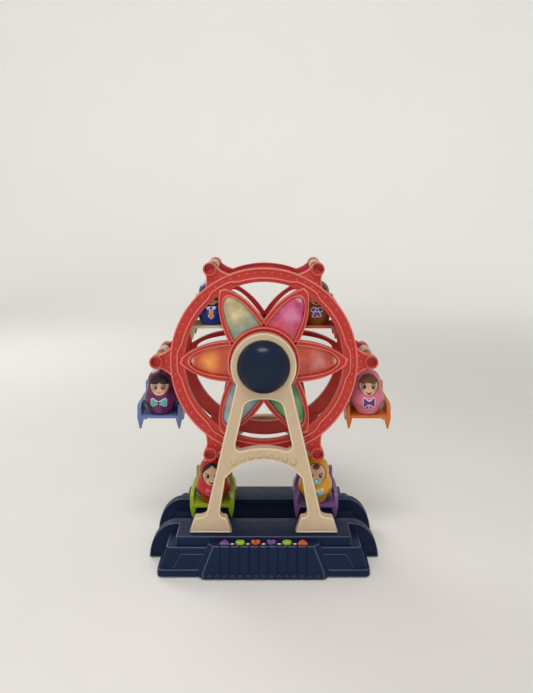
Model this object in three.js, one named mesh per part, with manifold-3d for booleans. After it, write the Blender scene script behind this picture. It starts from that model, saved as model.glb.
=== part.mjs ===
// A toy ferris wheel that plays music: a motor turns a two-rimmed wheel with six hanging chairs
// between two A-frames, on a hollow base that holds the batteries, the circuit and six music keys.
// Millimetres. +X is to the right, -Y is the front with the keys, +Z is up, the table is at Z = 0.
import * as THREE from 'three';
import { mergeVertices } from 'three/addons/utils/BufferGeometryUtils.js';
import Module from 'manifold-3d';

const wasm = await Module();
wasm.setup();

// Shared fits
const fit = 0.3; // gap between pieces that seat on or pass through each other
const overrun = 1; // how far a cut runs past the faces that it opens
const wall = 2.2; // wall of the moulded housings

// Dolls
const dollHeight = 35.6;
const dollBelly = 14; // largest radius
const dollFoot = 8.5; // radius of the flat that it stands on

// Chairs, measured from the pivot above them
const headroom = 11; // pivot down to the top of the doll
const seatThickness = 2.2;
const legLength = 8.7; // below the seat
const chairDepth = 26.4;
const backThickness = 2.2;
const sideThickness = 3;
const topHalfWidth = 12.1; // inner face of the side boards at the back posts
const armSpread = 2.8; // the boards stand this much further out at the arms and legs
const sideHeight = 22.5; // seat up to the top of the back posts
const armHeight = 9.5; // seat up to the arms
const postDepth = 4.4; // the thin back post, front to back
const backShare = 0.8; // back panel's part of the side boards' height above the seat
const legTipShare = 0.5; // leg's tip, of the board's thickness
const strapShare = 0.55; // strap's lower end, of the side boards' height above the seat

// Hangers
const postRadius = 3; // cross post that carries the hanger
const sleeveWall = 1.5;
const sleeveLength = 14;
const strapThickness = 2;
const strapWidth = 9;

// Wheel
const ringOuter = 73.9;
const ringWidth = 11.2;
const ringThickness = 6;
const bossReach = 10.5; // ring's edge out to the pivots
const bossRadius = 5.3;
const bossProud = 3; // bosses stand out of the ring's face
const recessRadius = 3.6;
const recessDepth = 5;
const hubRingRadius = 28.3;
const bandThickness = 3.8; // petal bands, front to back
const lensThickness = 1.7; // lens disc behind the bands
const lensProud = 3.2; // petals of the lens, out of that disc
const lensRim = 1.7; // lens disc reaches past the hub ring
const hubProud = 6; // hub ring stands out of the petal bands
const ridge = 1.1; // inner part of the ring lies lower
const finHalf = 12.5; // half of a fin where it leaves the ring
const socketDepth = 2.2;
const cabinSideGap = 4; // hangers' straps to the rims
const drumRadius = 20;
const axleRadius = 2;
const boardThickness = 1.6;
const cabins = 6;

// Stands
const standGap = 5.5; // wheel's bosses to the frames
const frameThickness = 7.5;
const standRing = 25.3;
const domeRadius = 20.5;
const domeHeight = 13.7;
const legWidth = 10;
const legTopOut = 21; // outer edge of a leg where it leaves the ring
const ankleOut = 43.6; // outer edge of a leg above its foot
const footOut = 57.1;
const footIn = 24.7;
const footHeight = 11.8;
const footSlope = 3.8; // foot's sides lean in by this much
const ankleHeight = 16.5;
const archHeight = 56.2; // deck up to the underside of the cross arch
const archHalfWidth = 24.7;
const archRise = 9.2;
const beamHeight = 9.8; // cross arch at its middle
const windowCorner = 5; // beam's corners rise by this much
const pegRadius = 2.5;
const pegLength = 5;

// Motor and gears behind the rear frame
const gearRecess = 5.5;
const gearModule = 0.6;
const gearTeeth = 28;
const pinionTeeth = 10;
const gearWidth = 3;
const tipShare = 0.11; // half a tooth at its tip, of the pitch
const rootShare = 0.27; // half a tooth at its root, of the pitch
const gearBacklash = 0.12;
const gearPlate = 1.5;
const motorRadius = 6;
const motorLength = 11.5;
const shaftRadius = 1;
const shaftDepth = 4; // pinion's shaft inside the motor
const coverFlange = 2;
const coverEdge = 24.5;
const coverHeadRadius = 1.6;
const screwHeadRadius = 2.2;
const screwHeadHeight = 0.9;
const screwRadius = 1.1;
const clipRadius = 5;
const clipThickness = 1.2;
const axleEnd = 2; // axle past its clip and past its bearing

// Base
const deckEndRoom = 15.1; // battery tray's end out to the deck's end
const deckFrontMargin = 5; // deck in front of the front frame
const deckRearMargin = 1; // deck behind the rear frame
const tierDrop = 7; // deck down to the tier
const tierEndStep = 7.2; // tier stands out at both ends of the deck
const tierStep = 2.5; // tier stands out before and behind the deck
const lipHeight = 7.3;
const lipEndStep = 6.4; // lip stands out at both ends of the tier
const lipStep = 4.9; // lip stands out before and behind the tier
const rimHeight = 0.8; // table up to the shell's lower edge
const troughFloor = 12.8;
const troughBend = 20; // height where the trough's sides start to lean in
const troughGap = 4; // chairs to the trough's upper sides
const troughFootGap = 0.8; // chairs to the trough's foot
const cabinFloorGap = 2; // lowest chair to the trough's floor
const fenderThickness = 8.1;
const fenderLevel = 3.2; // fenders run on level past the deck's ends
const fenderCurve = 20.7; // and from there reach this far out as they curve down
const panelDrop = 3.3; // deck down to the shelf with the keys
const panelMargin = 8.2; // outer keys' middles out to the panel's face at its top
const panelSpread = 6.8; // panel's face is this much wider at its foot, at each end
const panelTopBevel = 5.8;
const panelFootBevel = 6.3;
const shelfDepth = 8.3; // shelf stands out of the deck's front
const panelLean = 2.6; // panel's foot stands out of the shelf
const grooves = 10;
const groovePitch = 7;
const grooveWidth = 2.6;
const grooveDepth = 0.8;

// Keys
const keys = 6;
const keyPitch = 11.8;
const keyWidth = 7.1;
const keyDepth = 5.2;
const keyProud = 1.8;
const keyTravel = 1.2;
const keyFlange = 1.3;
const keyFlangeWidth = 9.2;
const keyFlangeDepth = 4.2;
const keySetback = 3.5; // deck's front edge to the middle of the keys

// Underside
const plateThickness = 2.4;
const plateHeight = 1.2; // table up to the plate
const footPadRadius = 5;
const footPadInset = 12.4; // in from the lip's ends
const footPadFrontInset = 10.9; // in from the lip's front
const footPadRearInset = 11.9;
const cellRadius = 7.25;
const cellLength = 50.2;
const cellTip = 1.2;
const cellTipRadius = 2.7;
const contactThickness = 0.6;
const contactHeight = 11;
const trayWall = 1.5;
const trayHeight = 3.8;
const doorThickness = 2;
const earLength = 8;
const earWidth = 9;
const earThickness = 0.9;
const bossWall = 1.7;
const doorBossHeight = 6;
const pillarInset = 20.4; // screw pillars, in from the lip's ends
const pillarFront = 25;
const pillarRear = 33;
const pillarRadius = 3.2;
const screwLength = 10;
const speakerRadius = 12.5;
const speakerDepth = 5;
const grilleRadius = 1;
const grillePitch = 4;
const circuitThickness = 1.6;
const circuitMargin = 7.3;
const circuitDepth = 6.4;
const membraneThickness = 0.6;
const membraneMargin = 4; // past the outer keys' middles
const membraneDepth = 5;
const boardRise = 6.15; // middle of the cells up to the circuit board
const boardBack = 0.8; // board and membrane lie this far behind the keys
const postMargin = 6.5;
const postWidth = 2;
const switchWidth = 4;
const switchHeight = 2;
const switchTravel = 4;
const switchProud = 1.5;
const switchX = 30;
const switchFlange = 1.2;

// Worked out from the sizes above
const pivotRadius = ringOuter + bossReach;
const armHalfWidth = topHalfWidth + armSpread;
const seatDrop = headroom + dollHeight + fit;
const cabinDrop = seatDrop + seatThickness + legLength;
const axleHeight = troughFloor + cabinFloorGap + cabinDrop + pivotRadius;
const chairBack = chairDepth / 2;
const dollPlace = chairBack - backThickness - fit - dollBelly;
const strapFront = chairBack + fit;
const rimInner = strapFront + strapThickness + cabinSideGap;
const rimOuter = rimInner + ringThickness;
const frameInner = rimOuter + bossProud + standGap;
const frameOuter = frameInner + frameThickness;
const troughHalf = chairBack + troughGap;
const troughFootHalf = chairBack + troughFootGap;
const deckFront = frameOuter + deckFrontMargin;
const deckRear = frameOuter + deckRearMargin;
const cellZ = plateHeight + doorThickness + fit + cellRadius;
const circuitTop = cellZ + boardRise + circuitThickness;
const membraneTop = circuitTop + fit + membraneThickness;
const shelfHeight = membraneTop + fit + keyTravel + keyFlange + fit + wall;
const deckHeight = shelfHeight + panelDrop;
const trayRight = cellLength + contactThickness + 3 * fit;
const trayLeft = -trayRight;
const deckHalfWidth = trayRight + deckEndRoom;
const tierHalfWidth = deckHalfWidth + tierEndStep;
const lipHalfWidth = tierHalfWidth + lipEndStep;
const pillarX = lipHalfWidth - pillarInset;
const footPadX = lipHalfWidth - footPadInset;
const fenderFlat = deckHalfWidth + fenderLevel;
const fenderReach = fenderFlat + fenderCurve;
const shelfFront = deckFront + shelfDepth;
const panelFoot = shelfFront + panelLean;
const tierHeight = deckHeight - tierDrop;
const keyRowHalf = ((keys - 1) * keyPitch) / 2;
const panelTopFace = keyRowHalf + panelMargin;
const panelTopOut = panelTopFace + panelTopBevel;
const panelFootFace = panelTopFace + panelSpread;
const panelFootOut = panelFootFace + panelFootBevel;
const postX = keyRowHalf + postMargin;
const ringInner = ringOuter - ringWidth;
const plateTop = plateHeight + plateThickness;

// Solids

// A closed solid from a three.js geometry, with its faces turned outwards.
function solid(geometry) {
  const bare = geometry.clone();
  for (const name of Object.keys(bare.attributes)) {
    if (name !== 'position') bare.deleteAttribute(name);
  }
  const merged = mergeVertices(bare);
  const corners = [];
  const index = merged.index.array;
  for (let i = 0; i < index.length; i += 3) {
    const [a, b, c] = [index[i], index[i + 1], index[i + 2]];
    if (a !== b && b !== c && c !== a) corners.push(a, b, c);
  }
  const positions = merged.attributes.position.array;
  const made = new wasm.Manifold(new wasm.Mesh({
    numProp: 3,
    vertProperties: positions,
    triVerts: new Uint32Array(corners),
  }));
  if (made.volume() > 0) return made;
  return new wasm.Manifold(new wasm.Mesh({
    numProp: 3,
    vertProperties: positions,
    triVerts: new Uint32Array(corners.reverse()),
  }));
}

function join(first, ...others) {
  return others.reduce((whole, other) => whole.add(other), first);
}

function cut(first, ...tools) {
  return tools.reduce((whole, tool) => whole.subtract(tool), first);
}

function geometryOf(made) {
  const { vertProperties, triVerts } = made.getMesh();
  const geometry = new THREE.BufferGeometry();
  geometry.setAttribute('position', new THREE.BufferAttribute(new Float32Array(vertProperties), 3));
  geometry.setIndex(new THREE.BufferAttribute(new Uint32Array(triVerts), 1));
  return geometry;
}

// A box between two corners.
function block(x0, x1, y0, y1, z0, z1) {
  const box = new THREE.BoxGeometry(x1 - x0, y1 - y0, z1 - z0);
  box.translate((x0 + x1) / 2, (y0 + y1) / 2, (z0 + z1) / 2);
  return solid(box);
}

// A box whose eight corners are placed by a function of their signs.
function cornerBlock(place) {
  const box = new THREE.BoxGeometry(1, 1, 1);
  const position = box.attributes.position;
  for (let i = 0; i < position.count; i += 1) {
    const signs = [position.getX(i), position.getY(i), position.getZ(i)].map(Math.sign);
    position.setXYZ(i, ...place(...signs));
  }
  return solid(box);
}

// A block that narrows from one level to another; a level has halfWidth, front, rear and height.
function taperedBlock(low, high) {
  return cornerBlock((sx, sy, sz) => {
    const level = sz > 0 ? high : low;
    return [sx * level.halfWidth, sy > 0 ? level.rear : -level.front, level.height];
  });
}

// An outline drawn in X and Z, made solid from one Y to another.
function alongY(shape, y0, y1, curveSegments) {
  const near = Math.min(y0, y1);
  const depth = Math.abs(y1 - y0);
  const made = new THREE.ExtrudeGeometry(shape, { depth, bevelEnabled: false, curveSegments });
  made.rotateX(Math.PI / 2);
  made.translate(0, near + depth, 0);
  return solid(made);
}

// An outline drawn in Y and Z, made solid from one X to another.
function alongX(shape, x0, x1, curveSegments) {
  const made = new THREE.ExtrudeGeometry(shape, { depth: x1 - x0, bevelEnabled: false, curveSegments });
  const across = new THREE.Matrix4().makeBasis(
    new THREE.Vector3(0, 1, 0),
    new THREE.Vector3(0, 0, 1),
    new THREE.Vector3(1, 0, 0),
  );
  made.applyMatrix4(across);
  made.translate(x0, 0, 0);
  return solid(made);
}

// An outline drawn in X and Y, made solid from one height to another.
function alongZ(shape, z0, z1, curveSegments) {
  const made = new THREE.ExtrudeGeometry(shape, { depth: z1 - z0, bevelEnabled: false, curveSegments });
  made.translate(0, 0, z0);
  return solid(made);
}

// A round bar about an axis along Y or Z, at a place in the plane across it.
function barAlongY(radius, y0, y1, segments, x = 0, z = 0) {
  const bar = new THREE.CylinderGeometry(radius, radius, Math.abs(y1 - y0), segments);
  bar.translate(x, (y0 + y1) / 2, z);
  return solid(bar);
}

function barAlongZ(radius, z0, z1, segments, x = 0, y = 0) {
  const bar = new THREE.CylinderGeometry(radius, radius, z1 - z0, segments);
  bar.rotateX(Math.PI / 2);
  bar.translate(x, y, (z0 + z1) / 2);
  return solid(bar);
}

// A profile of [radius, y] points turned about the Y axis; it ends on the axis or closes on itself.
function turned(profile, segments) {
  return solid(new THREE.LatheGeometry(profile.map(([r, y]) => new THREE.Vector2(r, y)), segments));
}

function closedProfile(points) {
  return [...points, points[0]];
}

function polygon(points) {
  return new THREE.Shape(points.map(([a, b]) => new THREE.Vector2(a, b)));
}

// The same solid turned about the wheel's axis, from +X up towards +Z.
function aroundAxle(made, angle) {
  const turn = new THREE.Matrix4().makeRotationY(-angle);
  const geometry = geometryOf(made);
  geometry.applyMatrix4(turn);
  return solid(geometry);
}

function mirroredBack(made) {
  const geometry = geometryOf(made);
  geometry.scale(1, -1, 1);
  return solid(geometry);
}

function everyCabin(make) {
  return Array.from({ length: cabins }, (_, i) => make((i * 2 * Math.PI) / cabins, i));
}

// Materials
const plastic = (color, roughness) => ({ color, roughness, metalness: 0 });
const steel = (color, roughness) => ({ color, roughness, metalness: 1 });
const red = plastic(0xc83a32, 0.35);
const cream = plastic(0xd6bd94, 0.5);
const navy = plastic(0x27314c, 0.45);
const dome = plastic(0x1c2f49, 0.12);
const purple = plastic(0x8a55a8, 0.4);
const lime = plastic(0xa5c52c, 0.4);
const orange = plastic(0xe8622c, 0.4);
const blue = plastic(0x6f8fd0, 0.4);
const black = plastic(0x1c1c1e, 0.6);
const green = plastic(0x1f6b3a, 0.5);
const brightSteel = steel(0xb9bcc0, 0.3);
const lens = { color: 0xf2a06a, roughness: 0.15, metalness: 0, transparent: true, opacity: 0.7 };

const toy = new THREE.Group();

function addPiece(group, name, look, made, place = [0, 0, 0]) {
  const mesh = new THREE.Mesh(geometryOf(made), new THREE.MeshStandardMaterial(look));
  mesh.name = name;
  mesh.position.set(...place);
  group.add(mesh);
}

// Base shell
const levels = {
  foot: {
    halfWidth: lipHalfWidth,
    front: deckFront + tierStep + lipStep,
    rear: deckRear + tierStep + lipStep,
  },
  tier: { halfWidth: tierHalfWidth, front: deckFront + tierStep, rear: deckRear + tierStep },
};

function atHeight(level, height, inset = 0) {
  return {
    halfWidth: level.halfWidth - inset,
    front: level.front - inset,
    rear: level.rear - inset,
    height,
  };
}

// The panel with the keys leans out from the shelf to its foot.
function panelBlock(inset, bottom) {
  return cornerBlock((sx, sy, sz) => {
    if (sz > 0) {
      const halfWidth = sy > 0 ? panelTopOut : panelTopFace;
      const y = sy > 0 ? inset - deckFront : inset - shelfFront;
      return [sx * (halfWidth - inset), y, shelfHeight - inset];
    }
    const halfWidth = sy > 0 ? panelFootOut : panelFootFace;
    const y = sy > 0 ? inset - deckFront : inset - panelFoot;
    return [sx * (halfWidth - inset), y, bottom];
  });
}

function fenderShape(inset, bottom) {
  const shape = new THREE.Shape();
  const top = deckHeight - inset;
  shape.moveTo(deckHalfWidth - wall - overrun, bottom);
  shape.lineTo(fenderReach - inset, bottom);
  shape.absellipse(
    fenderFlat, bottom, fenderReach - inset - fenderFlat, top - bottom, 0, Math.PI / 2, false,
  );
  shape.lineTo(deckHalfWidth - wall - overrun, top);
  return shape;
}

function troughShape(thickness) {
  const top = deckHeight + overrun;
  return polygon([
    [-troughHalf - thickness, top],
    [-troughHalf - thickness, troughBend - thickness / 2],
    [-troughFootHalf - thickness, troughFloor - thickness],
    [troughFootHalf + thickness, troughFloor - thickness],
    [troughHalf + thickness, troughBend - thickness / 2],
    [troughHalf + thickness, top],
  ]);
}

function bothSides(make) {
  return [-1, 1].map(make);
}

const fenderSegments = 8;

// Fenders stand at both ends of the deck, before and behind the trough.
function fenders(inset, bottom) {
  return bothSides((sy) => {
    const y0 = sy * (troughHalf + inset);
    const y1 = sy * (troughHalf + fenderThickness - inset);
    const right = alongY(fenderShape(inset, bottom), y0, y1, fenderSegments);
    const left = geometryOf(right);
    left.scale(-1, 1, 1);
    return right.add(solid(left));
  });
}

function decks(inset, bottom) {
  const half = deckHalfWidth - inset;
  const top = deckHeight - inset;
  return [
    block(-half, half, inset - deckFront, -troughHalf - inset, bottom, top),
    block(-half, half, troughHalf + inset, deckRear - inset, bottom, top),
  ];
}

function keyX(i) {
  return i * keyPitch - keyRowHalf;
}

const keyShapes = ['triangle', 'round', 'heart', 'heart', 'round', 'triangle'];
const keyLooks = [purple, lime, orange, purple, lime, orange];
const keySegments = 4;

// Where the keys' curves bend, as shares of their half width and half depth
const kneeShare = 0.7;
const cheekShare = 0.35;
const cleftShare = 0.6;

// A key's outline, grown by a margin all round.
function keyOutline(kind, margin) {
  const halfWidth = keyWidth / 2 + margin;
  const halfDepth = keyDepth / 2 + margin;
  const shape = new THREE.Shape();
  if (kind === 'round') {
    shape.absellipse(0, 0, halfWidth, halfDepth, 0, 2 * Math.PI, false);
  } else if (kind === 'triangle') {
    shape.moveTo(-halfWidth, -halfDepth);
    shape.lineTo(halfWidth, -halfDepth);
    shape.quadraticCurveTo(halfWidth * kneeShare, halfDepth * kneeShare, 0, halfDepth);
    shape.quadraticCurveTo(-halfWidth * kneeShare, halfDepth * kneeShare, -halfWidth, -halfDepth);
  } else {
    shape.moveTo(0, -halfDepth);
    shape.quadraticCurveTo(halfWidth, -halfDepth * cheekShare, halfWidth, halfDepth * cheekShare);
    shape.quadraticCurveTo(halfWidth, halfDepth, halfWidth / 2, halfDepth);
    shape.quadraticCurveTo(0, halfDepth, 0, halfDepth * cleftShare);
    shape.quadraticCurveTo(0, halfDepth, -halfWidth / 2, halfDepth);
    shape.quadraticCurveTo(-halfWidth, halfDepth, -halfWidth, halfDepth * cheekShare);
    shape.quadraticCurveTo(-halfWidth, -halfDepth * cheekShare, 0, -halfDepth);
  }
  return shape;
}

function keySolid(kind) {
  const flangeTop = shelfHeight - wall - fit;
  const flangeBottom = flangeTop - keyFlange;
  const cap = alongZ(keyOutline(kind, 0), flangeBottom, shelfHeight + keyProud, keySegments);
  const flange = block(
    -keyFlangeWidth / 2, keyFlangeWidth / 2, -keyFlangeDepth / 2, keyFlangeDepth / 2,
    flangeBottom, flangeTop,
  );
  return cap.add(flange);
}

const keyY = -deckFront - keySetback;

function keyHoles() {
  return keyShapes.map((kind, i) => {
    const outline = new THREE.ExtrudeGeometry(keyOutline(kind, fit), {
      depth: wall + 2 * overrun,
      bevelEnabled: false,
      curveSegments: keySegments,
    });
    outline.translate(keyX(i), keyY, shelfHeight - wall - overrun);
    return solid(outline);
  });
}

// Grooves run down the panel's leaning face.
function panelGrooves() {
  return Array.from({ length: grooves }, (_, i) => {
    const middle = (i - (grooves - 1) / 2) * groovePitch;
    return cornerBlock((sx, sy, sz) => {
      const face = sz > 0 ? -shelfFront : -panelFoot;
      const y = sy > 0 ? face + grooveDepth : face - overrun;
      const z = sz > 0 ? shelfHeight + overrun : rimHeight - overrun;
      return [middle + (sx * grooveWidth) / 2, y, z];
    });
  });
}

function eachFrameFoot(make) {
  const middle = (footOut + footIn) / 2;
  return [-middle, middle].flatMap((x) => [-1, 1].map((sy) => make(x, sy * (frameInner + frameOuter) / 2)));
}

const pillars = bothSides((sx) => [
  [sx * pillarX, -pillarFront],
  [sx * pillarX, pillarRear],
]).flat();

const boreSegments = 12;
const pillarSegments = 12;

function baseTopShell() {
  const outer = join(
    taperedBlock(atHeight(levels.foot, rimHeight), atHeight(levels.foot, lipHeight)),
    taperedBlock(atHeight(levels.foot, lipHeight), atHeight(levels.tier, tierHeight)),
    ...decks(0, rimHeight),
    ...fenders(0, rimHeight),
    panelBlock(0, rimHeight),
  );
  const below = rimHeight - overrun;
  const roof = tierHeight - wall;
  const hollow = join(
    taperedBlock(atHeight(levels.foot, below, wall), atHeight(levels.foot, lipHeight, wall)),
    taperedBlock(atHeight(levels.foot, lipHeight, wall), atHeight(levels.tier, roof, wall)),
    ...decks(wall, below),
    ...fenders(wall, below),
    panelBlock(wall, below),
  );
  const trough = alongX(troughShape(0), -fenderReach - overrun, fenderReach + overrun);
  const troughSkin = alongX(troughShape(wall), -fenderReach, fenderReach);
  const shell = cut(outer, hollow.subtract(troughSkin), trough);
  const screwPillars = pillars.map(([x, y]) => (
    barAlongZ(pillarRadius, plateTop + fit, deckHeight - wall / 2, pillarSegments, x, y)
  ));
  const boardPosts = bothSides((sx) => block(
    sx * postX - postWidth / 2, sx * postX + postWidth / 2,
    keyY - postWidth / 2, keyY + postWidth / 2,
    circuitTop + fit, shelfHeight - wall / 2,
  ));
  const screwBores = pillars.map(([x, y]) => (
    barAlongZ(screwRadius + fit, plateTop, screwTop + 2 * fit, boreSegments, x, y)
  ));
  const pegHoles = eachFrameFoot((x, y) => (
    barAlongZ(pegRadius + fit, deckHeight - wall - overrun, deckHeight + overrun, boreSegments, x, y)
  ));
  const rear = levels.foot.rear;
  const slotHalf = (switchWidth + switchTravel) / 2 + fit;
  const slot = block(
    switchX - slotHalf, switchX + slotHalf, rear - wall - overrun, rear + overrun,
    switchZ - switchHeight / 2 - fit, switchZ + switchHeight / 2 + fit,
  );
  return cut(
    join(shell, ...screwPillars, ...boardPosts),
    ...screwBores, ...keyHoles(), ...panelGrooves(), ...pegHoles, slot,
  );
}

const switchZ = plateTop + switchHeight / 2 + 2 * fit;
const screwHeadZ = plateHeight - screwHeadHeight;
const screwTop = plateTop + screwLength;

// Bottom plate, battery tray and door
const rowOne = -(troughFootHalf + wall + trayWall + 2 * fit + cellRadius);
const rowTwo = rowOne - 2 * cellRadius - fit;
const trayRear = rowOne + cellRadius + fit;
const trayFront = rowTwo - cellRadius - fit;
const earMiddle = (trayRear + trayFront) / 2;
const doorScrewX = trayRight + fit + earLength / 2;
const speakerY = troughFootHalf + wall + fit + speakerRadius + trayWall;

function footPads(radius, z0, z1) {
  const front = footPadFrontInset - levels.foot.front;
  const rear = levels.foot.rear - footPadRearInset;
  const pads = bothSides((sx) => [[sx * footPadX, front], [sx * footPadX, rear]]).flat();
  return pads.map(([x, y]) => barAlongZ(radius, z0, z1, pillarSegments, x, y));
}

function grilleHoles() {
  const places = [[0, 0], ...everyCabin((angle) => [
    grillePitch * Math.cos(angle), grillePitch * Math.sin(angle),
  ])];
  return places.map(([x, y]) => (
    barAlongZ(grilleRadius, plateHeight - overrun, plateTop + overrun, boreSegments, x, speakerY + y)
  ));
}

function baseBottomPlate() {
  const inset = wall + fit;
  const { halfWidth, front, rear } = levels.foot;
  const sheet = block(
    inset - halfWidth, halfWidth - inset, inset - front, rear - inset, plateHeight, plateTop,
  );
  const tongue = block(
    inset - panelFootFace, panelFootFace - inset, 2 * inset - panelFoot, inset - front + overrun,
    plateHeight, plateTop,
  );
  const tray = block(
    trayLeft - trayWall, trayRight + trayWall, trayFront - trayWall, trayRear + trayWall,
    plateHeight, plateTop + trayHeight,
  );
  const doorBoss = barAlongZ(
    screwRadius + fit + bossWall, plateHeight, plateTop + doorBossHeight, pillarSegments,
    doorScrewX, earMiddle,
  );
  const speakerRim = barAlongZ(
    speakerRadius + fit + trayWall, plateHeight, plateTop + trayHeight / 2, speakerSegments, 0, speakerY,
  );
  const speakerSeat = barAlongZ(
    speakerRadius + fit, plateTop, plateTop + trayHeight, speakerSegments, 0, speakerY,
  );
  const trayHole = block(
    trayLeft, trayRight, trayFront, trayRear, plateHeight - overrun, plateTop + trayHeight + overrun,
  );
  const earRecess = block(
    trayRight - overrun, trayRight + earLength + 2 * fit,
    earMiddle - earWidth / 2 - fit, earMiddle + earWidth / 2 + fit,
    plateHeight - overrun, plateHeight + earThickness + fit,
  );
  const doorScrewHole = barAlongZ(
    screwRadius + fit, plateHeight - overrun, plateTop + doorBossHeight + overrun, boreSegments,
    doorScrewX, earMiddle,
  );
  const screwHoles = pillars.map(([x, y]) => (
    barAlongZ(screwRadius + fit, plateHeight - overrun, plateTop + overrun, boreSegments, x, y)
  ));
  return cut(
    join(sheet, tongue, tray, doorBoss, speakerRim, ...footPads(footPadRadius, 0, plateHeight + fit)),
    speakerSeat, trayHole, earRecess, doorScrewHole, ...screwHoles, ...grilleHoles(),
  );
}

function batteryDoor() {
  const lid = block(
    trayLeft + fit, trayRight - fit, trayFront + fit, trayRear - fit,
    plateHeight, plateHeight + doorThickness,
  );
  const ear = block(
    trayRight - overrun, trayRight + earLength, earMiddle - earWidth / 2, earMiddle + earWidth / 2,
    plateHeight, plateHeight + earThickness,
  );
  const hole = barAlongZ(
    screwRadius + fit, plateHeight - overrun, plateHeight + earThickness + overrun, boreSegments,
    doorScrewX, earMiddle,
  );
  return cut(lid.add(ear), hole);
}

// A pan-head screw with its head at the bottom.
function screwUp(length) {
  const head = barAlongZ(screwHeadRadius, 0, screwHeadHeight - fit, pillarSegments);
  return head.add(barAlongZ(screwRadius, 0, length, boreSegments));
}

const cellSegments = 12;
const speakerSegments = 22;

// A cell lying along X, its tip towards +X.
function cell() {
  const body = new THREE.CylinderGeometry(cellRadius, cellRadius, cellLength - cellTip, cellSegments);
  body.rotateZ(Math.PI / 2);
  body.translate(-cellTip / 2, 0, 0);
  const tip = new THREE.CylinderGeometry(cellTipRadius, cellTipRadius, 2 * cellTip, cellSegments);
  tip.rotateZ(Math.PI / 2);
  tip.translate(cellLength / 2 - cellTip, 0, 0);
  return solid(body).add(solid(tip));
}

function speaker() {
  const magnet = barAlongZ(speakerRadius / 2, 0, speakerDepth, speakerSegments);
  return magnet.add(barAlongZ(speakerRadius, 0, speakerDepth / 2, speakerSegments));
}

function powerSwitch() {
  const rear = levels.foot.rear;
  const knob = block(
    -switchWidth / 2, switchWidth / 2, rear - wall - fit - switchFlange, rear + switchProud,
    -switchHeight / 2, switchHeight / 2,
  );
  const slider = block(
    -switchWidth / 2 - switchFlange, switchWidth / 2 + switchFlange,
    rear - wall - fit - switchFlange, rear - wall - fit,
    -switchHeight / 2 - fit, switchHeight / 2 + fit,
  );
  return knob.add(slider);
}

const base = new THREE.Group();
toy.add(base);
addPiece(base, 'base_top_shell', navy, baseTopShell());
addPiece(base, 'base_bottom_plate', navy, baseBottomPlate());
addPiece(base, 'battery_door', navy, batteryDoor());
addPiece(base, 'battery_door_screw', brightSteel, screwUp(plateTop + doorBossHeight - plateHeight), [
  doorScrewX, earMiddle, screwHeadZ,
]);
pillars.forEach(([x, y], i) => {
  addPiece(base, `base_screw_${i + 1}`, brightSteel, screwUp(screwTop - screwHeadZ), [x, y, screwHeadZ]);
});
const cellX = (cellLength + fit) / 2;
[[-cellX, rowOne], [cellX, rowOne], [-cellX, rowTwo]].forEach(([x, y], i) => {
  addPiece(base, `battery_${i + 1}`, green, cell(), [x, y, cellZ]);
});

// Spring contacts stand at the ends of the rows.
function contact(length) {
  return block(0, contactThickness, 0, length, 0, contactHeight);
}
const contactZ = plateHeight + doorThickness + fit;
const contactX = cellLength + fit + fit / 2;
const rowsLength = trayRear - trayFront - 2 * fit;
const rowLength = 2 * (cellRadius - fit);
addPiece(base, 'battery_contact_left', brightSteel, contact(rowsLength), [
  -contactX - contactThickness, trayFront + fit, contactZ,
]);
addPiece(base, 'battery_contact_right', brightSteel, contact(rowLength), [
  contactX, rowOne - rowLength / 2, contactZ,
]);
addPiece(base, 'battery_contact_middle', brightSteel, contact(rowLength), [
  fit, rowTwo - rowLength / 2, contactZ,
]);
addPiece(base, 'speaker', black, speaker(), [0, speakerY, plateTop + fit]);

function slab(halfWidth, depth, thickness) {
  return block(-halfWidth, halfWidth, -depth / 2, depth / 2, 0, thickness);
}
addPiece(base, 'circuit_board', green, slab(keyRowHalf + circuitMargin, circuitDepth, circuitThickness), [
  0, keyY + boardBack, circuitTop - circuitThickness,
]);
addPiece(base, 'key_membrane', black, slab(keyRowHalf + membraneMargin, membraneDepth, membraneThickness), [
  0, keyY + boardBack, membraneTop - membraneThickness,
]);
keyShapes.forEach((kind, i) => {
  addPiece(base, `key_${i + 1}`, keyLooks[i], keySolid(kind), [keyX(i), keyY, 0]);
});
addPiece(base, 'power_switch', black, powerSwitch(), [switchX - switchTravel / 2, 0, switchZ]);

// A-frames, drawn about the axle: X to the right, Z up from the axle
const standFoot = deckHeight + fit - axleHeight;
const ankleZ = standFoot + ankleHeight;
const legTopZ = -Math.sqrt(standRing ** 2 - legTopOut ** 2); // where the legs leave the ring
const frameSegments = 10;

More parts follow.
